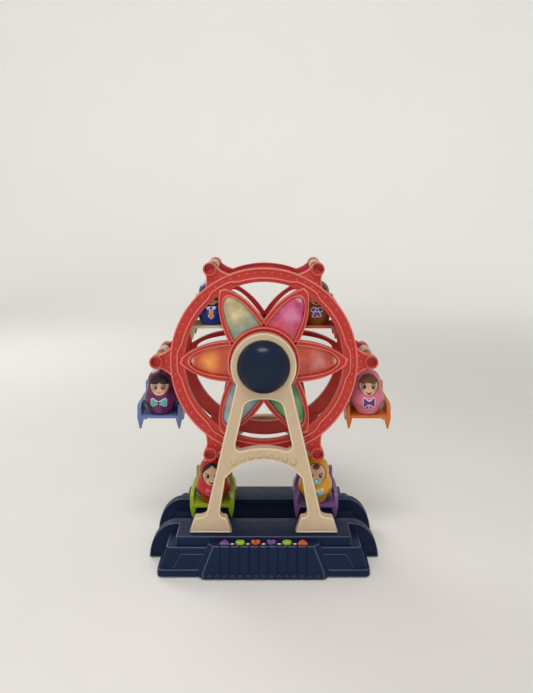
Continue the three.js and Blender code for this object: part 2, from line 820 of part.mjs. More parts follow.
function frameOutline() {
  const footTop = standFoot + footHeight;
  const archTop = standFoot + archHeight;
  const archEnd = archTop - archRise;
  const archRadius = (archHalfWidth ** 2 + archRise ** 2) / (2 * archRise);
  const archAngle = Math.asin(archHalfWidth / archRadius);
  const ankleIn = ankleOut - legWidth;
  const shape = new THREE.Shape();
  shape.moveTo(-footOut, standFoot);
  shape.lineTo(-footOut + footSlope, footTop);
  shape.quadraticCurveTo(-ankleOut, footTop, -ankleOut, ankleZ);
  shape.lineTo(-legTopOut, legTopZ);
  const joinAngle = Math.atan2(legTopZ, -legTopOut);
  shape.absarc(0, 0, standRing, joinAngle, Math.PI - joinAngle, true);
  shape.lineTo(ankleOut, ankleZ);
  shape.quadraticCurveTo(ankleOut, footTop, footOut - footSlope, footTop);
  shape.lineTo(footOut, standFoot);
  shape.lineTo(footIn, standFoot);
  shape.lineTo(footIn + footSlope, footTop);
  shape.quadraticCurveTo(ankleIn, footTop, ankleIn, ankleZ);
  shape.lineTo(archHalfWidth + archRise / 2, archEnd - archRise / 2);
  shape.lineTo(archHalfWidth, archEnd);
  shape.absarc(0, archTop - archRadius, archRadius, Math.PI / 2 - archAngle, Math.PI / 2 + archAngle, false);
  shape.lineTo(-archHalfWidth - archRise / 2, archEnd - archRise / 2);
  shape.lineTo(-ankleIn, ankleZ);
  shape.quadraticCurveTo(-ankleIn, footTop, -footIn - footSlope, footTop);
  shape.lineTo(-footIn, standFoot);
  shape.closePath();
  return shape;
}

// The leg's inner edge runs beside its outer edge, from the ankle up to the ring.
function legInnerX(z) {
  return legTopOut - legWidth + ((ankleOut - legTopOut) * (legTopZ - z)) / (legTopZ - ankleZ);
}

// The window between the legs, above the cross arch and below the ring.
function frameWindow() {
  const beamTop = standFoot + archHeight + beamHeight;
  const cornerZ = beamTop + windowCorner / 2;
  const topZ = -standRing - windowCorner;
  const shape = new THREE.Path();
  shape.moveTo(-legInnerX(cornerZ), cornerZ);
  shape.quadraticCurveTo(
    -legInnerX(beamTop), beamTop - windowCorner / 2,
    -legInnerX(beamTop) + windowCorner, beamTop - windowCorner / 2,
  );
  shape.quadraticCurveTo(
    0, beamTop + windowCorner / 2,
    legInnerX(beamTop) - windowCorner, beamTop - windowCorner / 2,
  );
  shape.quadraticCurveTo(legInnerX(beamTop), beamTop - windowCorner / 2, legInnerX(cornerZ), cornerZ);
  shape.lineTo(legInnerX(topZ), topZ);
  shape.quadraticCurveTo(legInnerX(topZ) - windowCorner / 2, topZ + windowCorner, 0, -standRing);
  shape.quadraticCurveTo(windowCorner / 2 - legInnerX(topZ), topZ + windowCorner, -legInnerX(topZ), topZ);
  shape.closePath();
  return shape;
}

function plainFrame() {
  const outline = frameOutline();
  outline.holes.push(frameWindow());
  const sheet = alongY(outline, -frameOuter, -frameInner, frameSegments);
  const middle = (footOut + footIn) / 2;
  const pegs = bothSides((sx) => barAlongZ(
    pegRadius, standFoot - pegLength, standFoot + pegLength, boreSegments,
    sx * middle, -(frameInner + frameOuter) / 2,
  ));
  const bore = barAlongY(axleRadius + fit, -frameOuter - overrun, -frameInner + overrun, boreSegments);
  return cut(join(sheet, ...pegs), bore);
}

const coverScrewX = (coverEdge + domeRadius) / 2;
const hubSegments = 32;

function rearFrame() {
  const recess = barAlongY(domeRadius + fit, frameOuter - gearRecess, frameOuter + overrun, hubSegments);
  const screwHoles = bothSides((sx) => barAlongY(
    screwRadius + fit, frameInner + overrun, frameOuter + overrun, boreSegments, sx * coverScrewX, 0,
  ));
  return cut(mirroredBack(plainFrame()), recess, ...screwHoles);
}

const domeSteps = 5;

// A round cap's radius and depth at a share of its curve, from the rim to the middle.
function domePoint(radius, height, share) {
  const angle = (share * Math.PI) / 2;
  return [radius * Math.cos(angle), -frameOuter - fit - height * Math.sin(angle)];
}

function frontHubCap() {
  const curve = (radius, height) => (
    Array.from({ length: domeSteps }, (_, i) => domePoint(radius, height, i / domeSteps))
  );
  const inside = curve(domeRadius - wall, domeHeight - wall).reverse();
  const outside = curve(domeRadius, domeHeight);
  const seat = -frameOuter - fit;
  return turned(
    [[0, seat + wall - domeHeight], ...inside, ...outside, [0, seat - domeHeight]], hubSegments,
  );
}

const coverFace = frameOuter + fit;

function motorCover() {
  const back = panelFoot;
  const bend = wall;
  const cup = turned([
    [0, back], [domeRadius - bend, back], [domeRadius, back - bend], [domeRadius, coverFace + coverFlange],
    [coverEdge, coverFace + coverFlange], [coverEdge, coverFace], [domeRadius - wall, coverFace],
    [domeRadius - wall, back - wall], [0, back - wall],
  ], hubSegments);
  const screwHoles = bothSides((sx) => barAlongY(
    screwRadius + fit, coverFace - overrun, coverFace + coverFlange + overrun, boreSegments,
    sx * coverScrewX, 0,
  ));
  return cut(cup, ...screwHoles);
}

const shaftDistance = (gearModule * (gearTeeth + pinionTeeth)) / 2;
const gearBack = frameOuter - gearPlate - fit - fit;
const gearFront = gearBack - gearWidth;

// A spur gear about the Y axis, with a tooth or a gap towards +Z.
function gear(teeth, toothUp) {
  const pitch = (gearModule * teeth) / 2;
  const tip = pitch + gearModule - gearBacklash;
  const root = pitch - gearModule - gearBacklash;
  const step = (2 * Math.PI) / teeth;
  const start = Math.PI / 2 + (toothUp ? 0 : step / 2);
  const shape = new THREE.Shape();
  for (let i = 0; i < teeth; i += 1) {
    const middle = start + i * step;
    const corners = [
      [root, -rootShare], [tip, -tipShare], [tip, tipShare], [root, rootShare],
    ];
    corners.forEach(([radius, share], corner) => {
      const angle = middle + share * step;
      const x = radius * Math.cos(angle);
      const z = radius * Math.sin(angle);
      if (i === 0 && corner === 0) shape.moveTo(x, z);
      else shape.lineTo(x, z);
    });
  }
  shape.closePath();
  return alongY(shape, gearFront, gearBack);
}

// The large gear turns with the axle.
function driveGear() {
  const bore = barAlongY(axleRadius + fit, gearFront - overrun, gearBack + overrun, boreSegments);
  return gear(gearTeeth, false).subtract(bore);
}

// The pinion is made in one with its shaft, which runs into the motor.
function motorPinion() {
  return gear(pinionTeeth, true).add(
    barAlongY(shaftRadius, gearBack - overrun, frameOuter + shaftDepth, boreSegments),
  );
}

function gearboxPlate() {
  const disc = barAlongY(domeRadius - fit, frameOuter - gearPlate - fit, frameOuter - fit, hubSegments);
  const y0 = frameOuter - gearPlate - overrun;
  const y1 = frameOuter + overrun;
  return cut(
    disc,
    barAlongY(axleRadius + fit, y0, y1, boreSegments),
    barAlongY(shaftRadius + fit, y0, y1, boreSegments, 0, shaftDistance),
  );
}

// Motor with its own reduction gears, open at the front for the pinion's shaft.
function gearMotor() {
  const can = barAlongY(motorRadius, frameOuter, frameOuter + motorLength, speakerSegments);
  const tail = barAlongY(
    motorRadius / 2, frameOuter + motorLength - overrun, frameOuter + motorLength + overrun, boreSegments,
  );
  const bore = barAlongY(
    shaftRadius + fit, frameOuter - overrun, frameOuter + shaftDepth + fit, boreSegments,
  );
  return cut(join(can, tail), bore);
}

// A pan-head screw along +Y, its head behind the cover's flange.
function coverScrew() {
  const seat = coverFace + coverFlange + fit;
  const head = barAlongY(coverHeadRadius, seat, seat + screwHeadHeight, boreSegments);
  return head.add(barAlongY(screwRadius, frameInner + overrun + fit, seat + screwHeadHeight, boreSegments));
}

const stands = new THREE.Group();
stands.position.z = axleHeight;
toy.add(stands);
addPiece(stands, 'front_frame', cream, plainFrame());
addPiece(stands, 'rear_frame', cream, rearFrame());
addPiece(stands, 'front_hub_cap', dome, frontHubCap());
addPiece(stands, 'motor_cover', navy, motorCover());
addPiece(stands, 'gearbox_plate', plastic(0xd8d8d4, 0.5), gearboxPlate());
addPiece(stands, 'gear_motor', brightSteel, gearMotor(), [0, 0, shaftDistance]);
addPiece(stands, 'motor_pinion', brightSteel, motorPinion(), [0, 0, shaftDistance]);
bothSides((sx) => sx).forEach((sx, i) => {
  addPiece(stands, `cover_screw_${i + 1}`, brightSteel, coverScrew(), [sx * coverScrewX, 0, 0]);
});

// Wheel, drawn about the axle
const rimSegments = 60;
const petalSegments = 7;
const bossSegments = 16;

// Half of a petal's outline as a curve: points along the petal and out from it, as shares of
// the ring's inner radius.
const lensShares = [[0.93, 0], [0.93, 0.1], [0.76, 0.17], [0.41, 0.2]];
const bandShares = [[1.06, 0.03], [0.893, 0.16], [0.702, 0.247], [0.447, 0.2576]];

function petalShape(shares, inset, root) {
  const [a, b, c, d] = shares.map(([along, out]) => [along * ringInner, out * ringInner]);
  const shape = new THREE.Shape();
  shape.moveTo(a[0] - inset, a[1]);
  shape.bezierCurveTo(b[0] - inset, b[1] - inset, c[0], c[1] - inset, d[0], d[1] - inset);
  shape.lineTo(root, d[1] - inset);
  shape.lineTo(root, inset - d[1]);
  shape.lineTo(d[0], inset - d[1]);
  shape.bezierCurveTo(c[0], inset - c[1], b[0] - inset, inset - b[1], a[0] - inset, -a[1]);
  shape.closePath();
  return shape;
}

function petals(shares, inset, root, y0, y1) {
  const one = alongY(petalShape(shares, inset, root), y0, y1, petalSegments);
  return everyCabin((angle) => aroundAxle(one, angle));
}

const bandBack = -rimOuter + bandThickness;
const lensBack = -rimInner - fit;
const discFront = lensBack - lensThickness;

function fin() {
  return alongY(polygon([
    [ringOuter - ringWidth / 2, -finHalf],
    [pivotRadius, -bossRadius],
    [pivotRadius, bossRadius],
    [ringOuter - ringWidth / 2, finHalf],
  ]), -rimOuter, -rimInner);
}

// The front rim carries the cross posts; the rear rim has a socket for the end of each.
function rim(front) {
  const step = ringWidth / 3;
  const ring = turned(closedProfile([
    [ringOuter, -rimInner], [ringOuter, -rimOuter], [ringInner + step, -rimOuter],
    [ringInner + step - ridge, ridge - rimOuter], [ringInner, ridge - rimOuter], [ringInner, -rimInner],
  ]), rimSegments);
  const bands = petals(bandShares, 0, 0, -rimOuter, -rimInner);
  const hub = barAlongY(hubRingRadius, -rimOuter - hubProud, bandBack, hubSegments);
  const bosses = everyCabin((angle) => aroundAxle(join(
    fin(),
    barAlongY(bossRadius, -rimOuter - bossProud, -rimInner, bossSegments, pivotRadius, 0),
  ), angle));
  const windows = petals(lensShares, 0, 0, -rimOuter - overrun, -rimInner + overrun);
  const discSeat = barAlongY(hubRingRadius + fit + lensRim, bandBack, -rimInner + overrun, hubSegments);
  const recesses = everyCabin((angle) => aroundAxle(
    barAlongY(
      recessRadius, -rimOuter - bossProud - overrun, -rimOuter - bossProud + recessDepth,
      bossSegments, pivotRadius, 0,
    ),
    angle,
  ));
  const bore = barAlongY(axleRadius + fit, -rimOuter - hubProud - overrun, -rimInner + overrun, boreSegments);
  const open = cut(join(ring, ...bands), ...windows, discSeat);
  const made = cut(join(open, hub, ...bosses), ...recesses, bore);
  if (front) {
    const posts = everyCabin((angle) => aroundAxle(
      barAlongY(postRadius, -rimInner - fit, rimInner + socketDepth - fit, bossSegments, pivotRadius, 0),
      angle,
    ));
    return join(made, ...posts);
  }
  const sockets = everyCabin((angle) => aroundAxle(
    barAlongY(postRadius + fit, -rimInner - socketDepth, -rimInner + overrun, bossSegments, pivotRadius, 0),
    angle,
  ));
  return mirroredBack(cut(made, ...sockets));
}

// One lit lens: six petals that fill the windows, on a disc behind the hub.
function lensPiece() {
  const disc = barAlongY(hubRingRadius + lensRim, discFront, lensBack, hubSegments);
  const blades = petals(lensShares, fit, 0, lensBack - lensProud - lensThickness, lensBack);
  const hubSeat = barAlongY(hubRingRadius + fit, -rimOuter - overrun, bandBack + fit, hubSegments);
  const bore = barAlongY(axleRadius + 2 * fit, -rimOuter - overrun, -rimInner + overrun, boreSegments);
  return cut(join(disc, ...blades), hubSeat, bore);
}

function drum() {
  const half = rimInner;
  return turned(closedProfile([
    [drumRadius - wall, -half], [drumRadius, -half], [drumRadius, half], [drumRadius - wall, half],
  ]), hubSegments);
}

function ringAlongY(inner, outer, y0, y1, segments) {
  return turned(closedProfile([[inner, y0], [outer, y0], [outer, y1], [inner, y1]]), segments);
}

const clipFace = -frameOuter - fit;

const wheel = new THREE.Group();
wheel.position.z = axleHeight;
toy.add(wheel);
addPiece(wheel, 'axle', brightSteel, barAlongY(
  axleRadius, clipFace - clipThickness - axleEnd, frameOuter + axleEnd, boreSegments,
));
addPiece(wheel, 'axle_clip', black, ringAlongY(
  axleRadius + fit, clipRadius, clipFace - clipThickness, clipFace, bossSegments,
));
addPiece(wheel, 'drive_gear', plastic(0xe8e4da, 0.5), driveGear());
addPiece(wheel, 'hub_drum', red, drum());
addPiece(wheel, 'light_board', green, ringAlongY(
  axleRadius + fit, drumRadius - wall - fit, -boardThickness / 2, boardThickness / 2, speakerSegments,
));
addPiece(wheel, 'front_rim', red, rim(true));
addPiece(wheel, 'rear_rim', red, rim(false));
addPiece(wheel, 'front_lens', lens, lensPiece());
addPiece(wheel, 'rear_lens', lens, mirroredBack(lensPiece()));

// Cabins, drawn about their pivots
const dollSegments = 16;

// The doll's outline: radius and height, as shares of its belly and its height.
const dollShares = [
  [0.86, 0.16], [1, 0.36], [0.95, 0.5], [0.82, 0.6], [0.82, 0.7], [0.78, 0.82], [0.52, 0.94],
];

function doll() {
  const profile = dollShares.map(([out, up]) => [out * dollBelly, up * dollHeight]);
  const made = new THREE.LatheGeometry(
    [[0, 0], [dollFoot, 0], ...profile, [0, dollHeight]].map(([r, h]) => new THREE.Vector2(r, h)),
    dollSegments,
  );
  made.rotateX(Math.PI / 2);
  return solid(made);
}

const seatTop = -seatDrop;
const seatBottom = seatTop - seatThickness;
const armZ = seatTop + armHeight;
const boardSegments = 5;

// A side board seen from the front: upright at the back post, further out at arm and leg.
function boardFront() {
  const top = seatTop + sideHeight;
  const bend = armHeight / 2;
  return polygon([
    [topHalfWidth, top],
    [topHalfWidth, armZ + bend],
    [armHalfWidth, armZ],
    [armHalfWidth, seatBottom],
    [armHalfWidth, -cabinDrop],
    [armHalfWidth + sideThickness * legTipShare, -cabinDrop],
    [armHalfWidth + sideThickness, seatBottom],
    [armHalfWidth + sideThickness, armZ],
    [topHalfWidth + sideThickness, armZ + bend],
    [topHalfWidth + sideThickness, top],
  ]);
}

// A side board seen from the side: post at the back, arm forward, two tapering legs.
function boardSide() {
  const top = seatTop + sideHeight;
  const shape = new THREE.Shape();
  const legTip = postDepth / 2;
  shape.moveTo(chairBack, top);
  shape.lineTo(chairBack, seatBottom);
  shape.lineTo(chairBack - legTip / 2, -cabinDrop);
  shape.lineTo(chairBack - legTip - legTip / 2, -cabinDrop);
  shape.quadraticCurveTo(chairBack - postDepth, seatBottom - legTip, 0, seatBottom - legTip);
  shape.quadraticCurveTo(
    postDepth - chairBack, seatBottom - legTip, legTip + legTip / 2 - chairBack, -cabinDrop,
  );
  shape.lineTo(legTip / 2 - chairBack, -cabinDrop);
  shape.lineTo(-chairBack, seatBottom);
  shape.lineTo(-chairBack, armZ - postDepth);
  shape.quadraticCurveTo(-chairBack, armZ, postDepth - chairBack, armZ);
  shape.quadraticCurveTo(chairBack - postDepth, armZ, chairBack - postDepth, armZ + postDepth * 2);
  shape.lineTo(chairBack - postDepth, top);
  shape.closePath();
  return shape;
}

function chair() {
  const side = alongX(boardSide(), topHalfWidth, armHalfWidth + sideThickness, boardSegments);
  const right = side.intersect(alongY(boardFront(), -chairBack, chairBack));
  const leftGeometry = geometryOf(right);
  leftGeometry.scale(-1, 1, 1);
  const seat = block(
    -armHalfWidth - fit, armHalfWidth + fit, -chairBack, chairBack, seatBottom, seatTop,
  );
  const back = block(
    -topHalfWidth - fit, topHalfWidth + fit, chairBack - backThickness, chairBack,
    seatBottom, seatTop + sideHeight * backShare,
  );
  return join(right, solid(leftGeometry), seat, back);
}

// A sleeve on the cross post, with a strap that runs down behind the chair's back.
function hanger() {
  const outer = postRadius + fit + sleeveWall;
  const back = strapFront + strapThickness;
  const sleeve = barAlongY(outer, back - sleeveLength, back, bossSegments);
  const strap = block(
    -strapWidth / 2, strapWidth / 2, strapFront, back,
    seatTop + sideHeight * strapShare, 0,
  );
  const bore = barAlongY(postRadius + fit, back - sleeveLength - overrun, back + overrun, bossSegments);
  return cut(join(sleeve, strap), bore);
}

const chairLooks = [
  orange,
  plastic(0xd94a2c, 0.4),
  plastic(0xe2cfa6, 0.45),
  blue,
  lime,
  plastic(0x7d5cb0, 0.4),
];
const dollLooks = [
  plastic(0xe68aa4, 0.3),
  plastic(0x8a4a1e, 0.3),
  plastic(0x2747a0, 0.3),
  plastic(0x5b2a7c, 0.3),
  plastic(0xd3302c, 0.3),
  plastic(0xf0b418, 0.3),
];

everyCabin((angle, i) => {
  const cabin = new THREE.Group();
  cabin.position.set(pivotRadius * Math.cos(angle), 0, pivotRadius * Math.sin(angle));
  wheel.add(cabin);
  addPiece(cabin, `hanger_${i + 1}`, cream, hanger());
  addPiece(cabin, `chair_${i + 1}`, chairLooks[i], chair());
  addPiece(cabin, `doll_${i + 1}`, dollLooks[i], doll(), [0, dollPlace, seatTop + fit]);
});

export default toy;
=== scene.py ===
# Toy ferris wheel with hanging chairs, lit petals and a base with music keys.
# Sizes are in millimetres and angles in degrees; the mesh helpers turn sizes into metres.
import bpy
import bmesh
import math
from mathutils import Matrix, Vector


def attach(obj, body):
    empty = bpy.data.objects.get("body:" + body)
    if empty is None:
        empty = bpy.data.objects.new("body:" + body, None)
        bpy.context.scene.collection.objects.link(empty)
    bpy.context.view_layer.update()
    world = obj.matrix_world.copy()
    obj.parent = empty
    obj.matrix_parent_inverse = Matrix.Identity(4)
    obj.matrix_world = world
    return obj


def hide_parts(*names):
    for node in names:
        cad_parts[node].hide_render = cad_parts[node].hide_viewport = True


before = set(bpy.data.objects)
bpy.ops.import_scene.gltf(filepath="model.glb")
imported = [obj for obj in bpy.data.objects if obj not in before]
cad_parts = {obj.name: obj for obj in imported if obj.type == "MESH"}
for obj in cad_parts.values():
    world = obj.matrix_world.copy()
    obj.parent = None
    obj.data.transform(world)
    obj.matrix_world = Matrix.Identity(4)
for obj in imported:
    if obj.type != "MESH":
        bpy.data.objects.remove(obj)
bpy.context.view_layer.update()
scene = bpy.context.scene
unit = 0.001
axleHeight = 157.0
cabins = 6


# Mesh helpers

def addObject(name, data, materials=()):
    piece = bpy.data.objects.new(name, data)
    scene.collection.objects.link(piece)
    for material in materials:
        data.materials.append(material)
    return piece


# The mesh of an object with its modifiers applied; the object itself goes.
def bake(carrier):
    made = bpy.data.meshes.new_from_object(carrier.evaluated_get(bpy.context.evaluated_depsgraph_get()))
    bpy.data.objects.remove(carrier)
    return made


def edit(mesh, change):
    work = bmesh.new()
    work.from_mesh(mesh)
    change(work)
    work.to_mesh(mesh)
    work.free()


def smoothByAngle(mesh, angle):
    limit = math.radians(angle)

    def markEdges(work):
        for edge in work.edges:
            edge.smooth = len(edge.link_faces) == 2 and edge.calc_face_angle(math.pi) < limit

    mesh.polygons.foreach_set("use_smooth", [True] * len(mesh.polygons))
    edit(mesh, markEdges)
    mesh.update()


def addRounding(piece, width, steps, angle):
    rounding = piece.modifiers.new("round", "BEVEL")
    rounding.width = width * unit
    rounding.segments = steps
    rounding.limit_method = "ANGLE"
    rounding.angle_limit = math.radians(angle)
    return rounding


# Puts a piece on its body, in place of a CAD node where it stands for one.
def show(piece, body, node=None):
    if node:
        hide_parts(node)
    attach(piece, body)
    return piece


# Parts collects closed shapes that end up in one mesh; a shape is its points, faces and marks.
class Parts:
    def __init__(self, *shapes):
        self.points, self.faces, self.slots, self.marks = [], [], [], []
        for shape in shapes:
            self.add(shape)

    def add(self, shape, slot=0):
        points, faces, marks = shape
        start = len(self.points)
        self.points += [tuple(p) for p in points]
        self.faces += [[start + i for i in face] for face in faces]
        self.slots += [slot] * len(faces)
        self.marks += marks

    def addMesh(self, mesh, place):
        self.add(unmarked([place @ v.co for v in mesh.vertices], [list(p.vertices) for p in mesh.polygons]))

    def turned(self, matrix):
        made = Parts()
        made.points = [tuple(matrix @ Vector(p)) for p in self.points]
        made.faces = [face[::-1] for face in self.faces] if matrix.determinant() < 0 else list(self.faces)
        made.slots = list(self.slots)
        made.marks = list(self.marks)
        return made

    def join(self, other):
        start = len(self.points)
        self.points += other.points
        self.faces += [[start + i for i in face] for face in other.faces]
        self.slots += other.slots
        self.marks += other.marks

    def build(self, name, materials, angle=35.0):
        mesh = bpy.data.meshes.new(name)
        mesh.from_pydata([Vector(p) * unit for p in self.points], [], self.faces)
        mesh.polygons.foreach_set("material_index", self.slots)
        mark = mesh.attributes.new("mark", "FLOAT", "POINT")
        mark.data.foreach_set("value", self.marks)
        edit(mesh, lambda work: bmesh.ops.recalc_face_normals(work, faces=work.faces))
        smoothByAngle(mesh, angle)
        return addObject(name, mesh, materials)


def unmarked(points, faces):
    return points, faces, [0.0] * len(points)


# Faces of a tube whose rows of points are closed loops; an open tube's ends are filled.
def tubeFaces(rows, count, closed=False):
    faces = []
    for i in range(rows if closed else rows - 1):
        j = (i + 1) % rows
        for k in range(count):
            m = (k + 1) % count
            faces.append([i * count + k, i * count + m, j * count + m, j * count + k])
    if not closed:
        faces.append(list(range(count))[::-1])
        faces.append([(rows - 1) * count + k for k in range(count)])
    return faces


# Levels of points, all with the same count, joined into one closed solid.
def loft(levels):
    return unmarked([p for level in levels for p in level], tubeFaces(len(levels), len(levels[0])))


def acrossY(outline, y0, y1):
    return loft([[(x, y, z) for x, z in outline] for y in (y0, y1)])


def alongX(outline, x0, x1):
    return loft([[(x, y, z) for y, z in outline] for x in (x0, x1)])


def upAlongZ(outline, z0, z1):
    return loft([[(x, y, z) for x, y in outline] for z in (z0, z1)])


def rectangle(across, up):
    return [(across[0], up[0]), (across[1], up[0]), (across[1], up[1]), (across[0], up[1])]


def blend(first, second, share):
    return tuple(a + (b - a) * share for a, b in zip(first, second))


def rowOf(count, pitch):
    return [(i - (count - 1) / 2) * pitch for i in range(count)]


def roundTurn(steps):
    return [2 * math.pi * i / steps for i in range(steps)]


# Points on an arc about a middle.
def arc(cx, cy, radius, start, end, steps):
    turns = [math.radians(start + (end - start) * i / steps) for i in range(steps + 1)]
    return [(cx + radius * math.cos(a), cy + radius * math.sin(a)) for a in turns]


# Points on a curve drawn by its control points; curveThrough leaves out the first point of one drawn through
# three.
def bezier(controls, steps):
    order = len(controls) - 1
    made = []
    for i in range(steps + 1):
        t = i / steps
        weights = [math.comb(order, n) * (1 - t) ** (order - n) * t ** n for n in range(order + 1)]
        made.append(tuple(sum(w * p[k] for w, p in zip(weights, controls)) for k in range(2)))
    return made


def curveThrough(start, control, end, steps):
    return bezier((start, control, end), steps)[1:]


# A point at share t of the smooth curve from q to r.
def curvePoint(before, start, end, after, t):
    return tuple(
        0.5 * (2 * q + (r - p) * t + (2 * p - 5 * q + 4 * r - s) * t * t + (3 * q - p - 3 * r + s) * t ** 3)
        for p, q, r, s in zip(before, start, end, after)
    )


def smoothCurve(points, steps):
    padded = [points[0], *points, points[-1]]
    runs = zip(padded, padded[1:], padded[2:], padded[3:])
    return [curvePoint(*run, i / steps) for run in runs for i in range(steps)] + [points[-1]]


def closedCurve(points, steps=5):
    wrapped = [points[-1], *points, points[0], points[1]]
    runs = zip(wrapped, wrapped[1:], wrapped[2:], wrapped[3:])
    return [curvePoint(*run, i / steps) for run in runs for i in range(steps)]


# The closed outline moved inwards by a distance; the points run anticlockwise.
def offsetOutline(points, distance):
    sharpest, folded = 0.35, 0.2
    made = []
    for i, spot in enumerate(points):
        before, here, after = Vector(points[i - 1]), Vector(spot), Vector(points[(i + 1) % len(points)])
        a, b = (here - before).normalized(), (after - here).normalized()
        middle = Vector((-a.y - b.y, a.x + b.x))
        if middle.length < folded:
            middle = Vector((-a.y, a.x))
        made.append(tuple(here + middle * distance / max(sharpest, middle.length_squared / 2)))
    return made


def anticlockwise(points):
    area = sum(points[i - 1][0] * p[1] - p[0] * points[i - 1][1] for i, p in enumerate(points))
    return points if area > 0 else points[::-1]


# An outline from the half on its right; points on the middle line aren't doubled.
def bothHalves(half):
    return half + [(-x, y) for x, y in half[::-1] if abs(x) > 1e-9]


# A profile whose corners are rounded; its first and last point stay.
def roundCorners(profile, radius, steps=3):
    made = [profile[0]]
    for before, here, after in zip(profile, profile[1:], profile[2:]):
        a, b, c = Vector(before), Vector(here), Vector(after)
        reach = min(radius, (a - b).length * 0.45, (c - b).length * 0.45)
        first = b + (a - b).normalized() * reach
        last = b + (c - b).normalized() * reach
        made.append(tuple(first))
        made += curveThrough(first, b, last, steps)
    made.append(profile[-1])
    return made


# A flat plate with rounded edges, its outline in X and Y, its thickness along Z about 0.
def slab(outline, holes, depth, bevel, steps=2):
    curve = bpy.data.curves.new("slab", "CURVE")
    curve.dimensions = "2D"
    curve.fill_mode = "BOTH"
    curve.extrude = depth / 2 - bevel
    curve.bevel_depth = bevel
    curve.bevel_resolution = steps
    curve.offset = -bevel
    for ring in [outline, *holes]:
        spline = curve.splines.new("POLY")
        spline.points.add(len(ring) - 1)
        for point, (x, y) in zip(spline.points, ring):
            point.co = (x, y, 0, 1)
        spline.use_cyclic_u = True
    made = bake(addObject("slab", curve))
    edit(made, lambda work: bmesh.ops.remove_doubles(work, verts=work.verts, dist=1e-4))
    return made


# Stands a slab up, its outline in X and Z and its thickness along Y.
def upright(y0, y1):
    return Matrix.Translation((0, (y0 + y1) / 2, 0)) @ Matrix.Rotation(math.pi / 2, 4, "X")


# A round bead along points, such as a raised border; mark 1 shows the lighter edge tone, a painted highlight.
def bead(points, radius, closed=True, mark=1.0):
    sides = 8
    path = [Vector(p) for p in points]
    made = []
    for i, here in enumerate(path):
        before = path[i - 1] if closed or i > 0 else here
        after = path[(i + 1) % len(path)] if closed or i < len(path) - 1 else here
        along = (after - before).normalized()
        side = along.cross(Vector((0, 1, 0)))
        if side.length < 0.2:
            side = along.cross(Vector((1, 0, 0)))
        side.normalize()
        up = side.cross(along)
        made += [here + (side * math.cos(a) + up * math.sin(a)) * radius for a in roundTurn(sides)]
    return made, tubeFaces(len(path), sides, closed), [mark] * len(made)


# A profile of radius, y and perhaps mark, turned about an axis along Y.
def lathe(profile, segments, cx=0.0, cz=0.0):
    points, faces, turns, marks = [], [], [], []
    for radius, y, *mark in profile:
        angles = [0.0] if radius < 1e-6 else roundTurn(segments)
        turns.append([len(points) + k for k in range(len(angles))])
        marks += [mark[0] if mark else 0.0] * len(angles)
        points += [(cx + radius * math.cos(a), y, cz + radius * math.sin(a)) for a in angles]
    for a, b in zip(turns, turns[1:]):
        if len(a) == 1 and len(b) == 1:
            continue
        for k in range(segments):
            m = (k + 1) % segments
            if len(a) == 1:
                faces.append([a[0], b[k], b[m]])
            elif len(b) == 1:
                faces.append([a[k], a[m], b[0]])
            else:
                faces.append([a[k], a[m], b[m], b[k]])
    return points, faces, marks


# A section of radius and y with rounded corners, turned about an axis; its points near the face are marked for
# a painted highlight.
def turnedPart(look, cx=0.0, cz=0.0):
    mark, before = look.get("mark", (0.0, 0.0))
    section = roundCorners(look["section"], look["round"], look.get("roundSteps", 3))
    return lathe([(radius, y, mark if y < before else 0.0) for radius, y in section], look["segments"], cx, cz)


# A CAD node's mesh, merged, its flat faces joined and its edges rounded.
def cadCopy(node, width, steps):
    def clean(work):
        bmesh.ops.remove_doubles(work, verts=work.verts, dist=2e-6)
        flat = math.radians(1.5)
        bmesh.ops.dissolve_limit(work, angle_limit=flat, verts=work.verts, edges=work.edges)

    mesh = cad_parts[node].data.copy()
    edit(mesh, clean)
    mesh.materials.clear()
    carrier = addObject(node, mesh)
    addRounding(carrier, width, steps, 30.0)
    made = bake(carrier)
    smoothByAngle(made, 40.0)
    return made


# Shows CAD nodes with rounded edges and materials of their own.
def dress(body, finishes, width, steps=1):
    for node, material in finishes.items():
        show(addObject(node + "_shown", cadCopy(node, width, steps), [material]), body, node)


# Materials

def linear(value):
    return value / 12.92 if value <= 0.04045 else ((value + 0.055) / 1.055) ** 2.4


def colour(red, green, blue):
    return (linear(red / 255), linear(green / 255), linear(blue / 255), 1.0)


def shade(tone, factor):
    return tuple(min(1.0, part * factor) for part in tone[:3]) + (1.0,)


# Links each input whose value is another node's socket and sets the others.
def setInputs(tree, node, inputs):
    for name, value in inputs.items():
        if isinstance(value, bpy.types.NodeSocket):
            tree.links.new(value, node.inputs[name])
        else:
            node.inputs[name].default_value = value


def addNode(tree, kind, inputs=None, **settings):
    node = tree.nodes.new(kind)
    for name, value in settings.items():
        setattr(node, name, value)
    setInputs(tree, node, inputs or {})
    return node


def newMaterial(name):
    material = bpy.data.materials.new(name)
    material.use_nodes = True
    return material, material.node_tree, material.node_tree.nodes["Principled BSDF"]


def place(tree, scale):
    spot = addNode(tree, "ShaderNodeTexCoord").outputs["Object"]
    return addNode(tree, "ShaderNodeMapping", {"Vector": spot, "Scale": (scale,) * 3}).outputs["Vector"]


def noise(tree, scale, detail, roughness=0.5):
    return addNode(tree, "ShaderNodeTexNoise", {
        "Vector": place(tree, scale), "Scale": 1.0, "Detail": detail, "Roughness": roughness,
    }).outputs["Fac"]


# A noise pattern spread between a low and a high value.
def spread(tree, pattern, low=0.0, high=1.0):
    return addNode(tree, "ShaderNodeMapRange", {
        "Value": noise(tree, *pattern), "From Min": 0.3, "From Max": 0.7, "To Min": low, "To Max": high,
    }).outputs["Result"]


def mixed(tree, share, first, second):
    return addNode(tree, "ShaderNodeMix", {0: share, 6: first, 7: second}, data_type="RGBA").outputs[2]


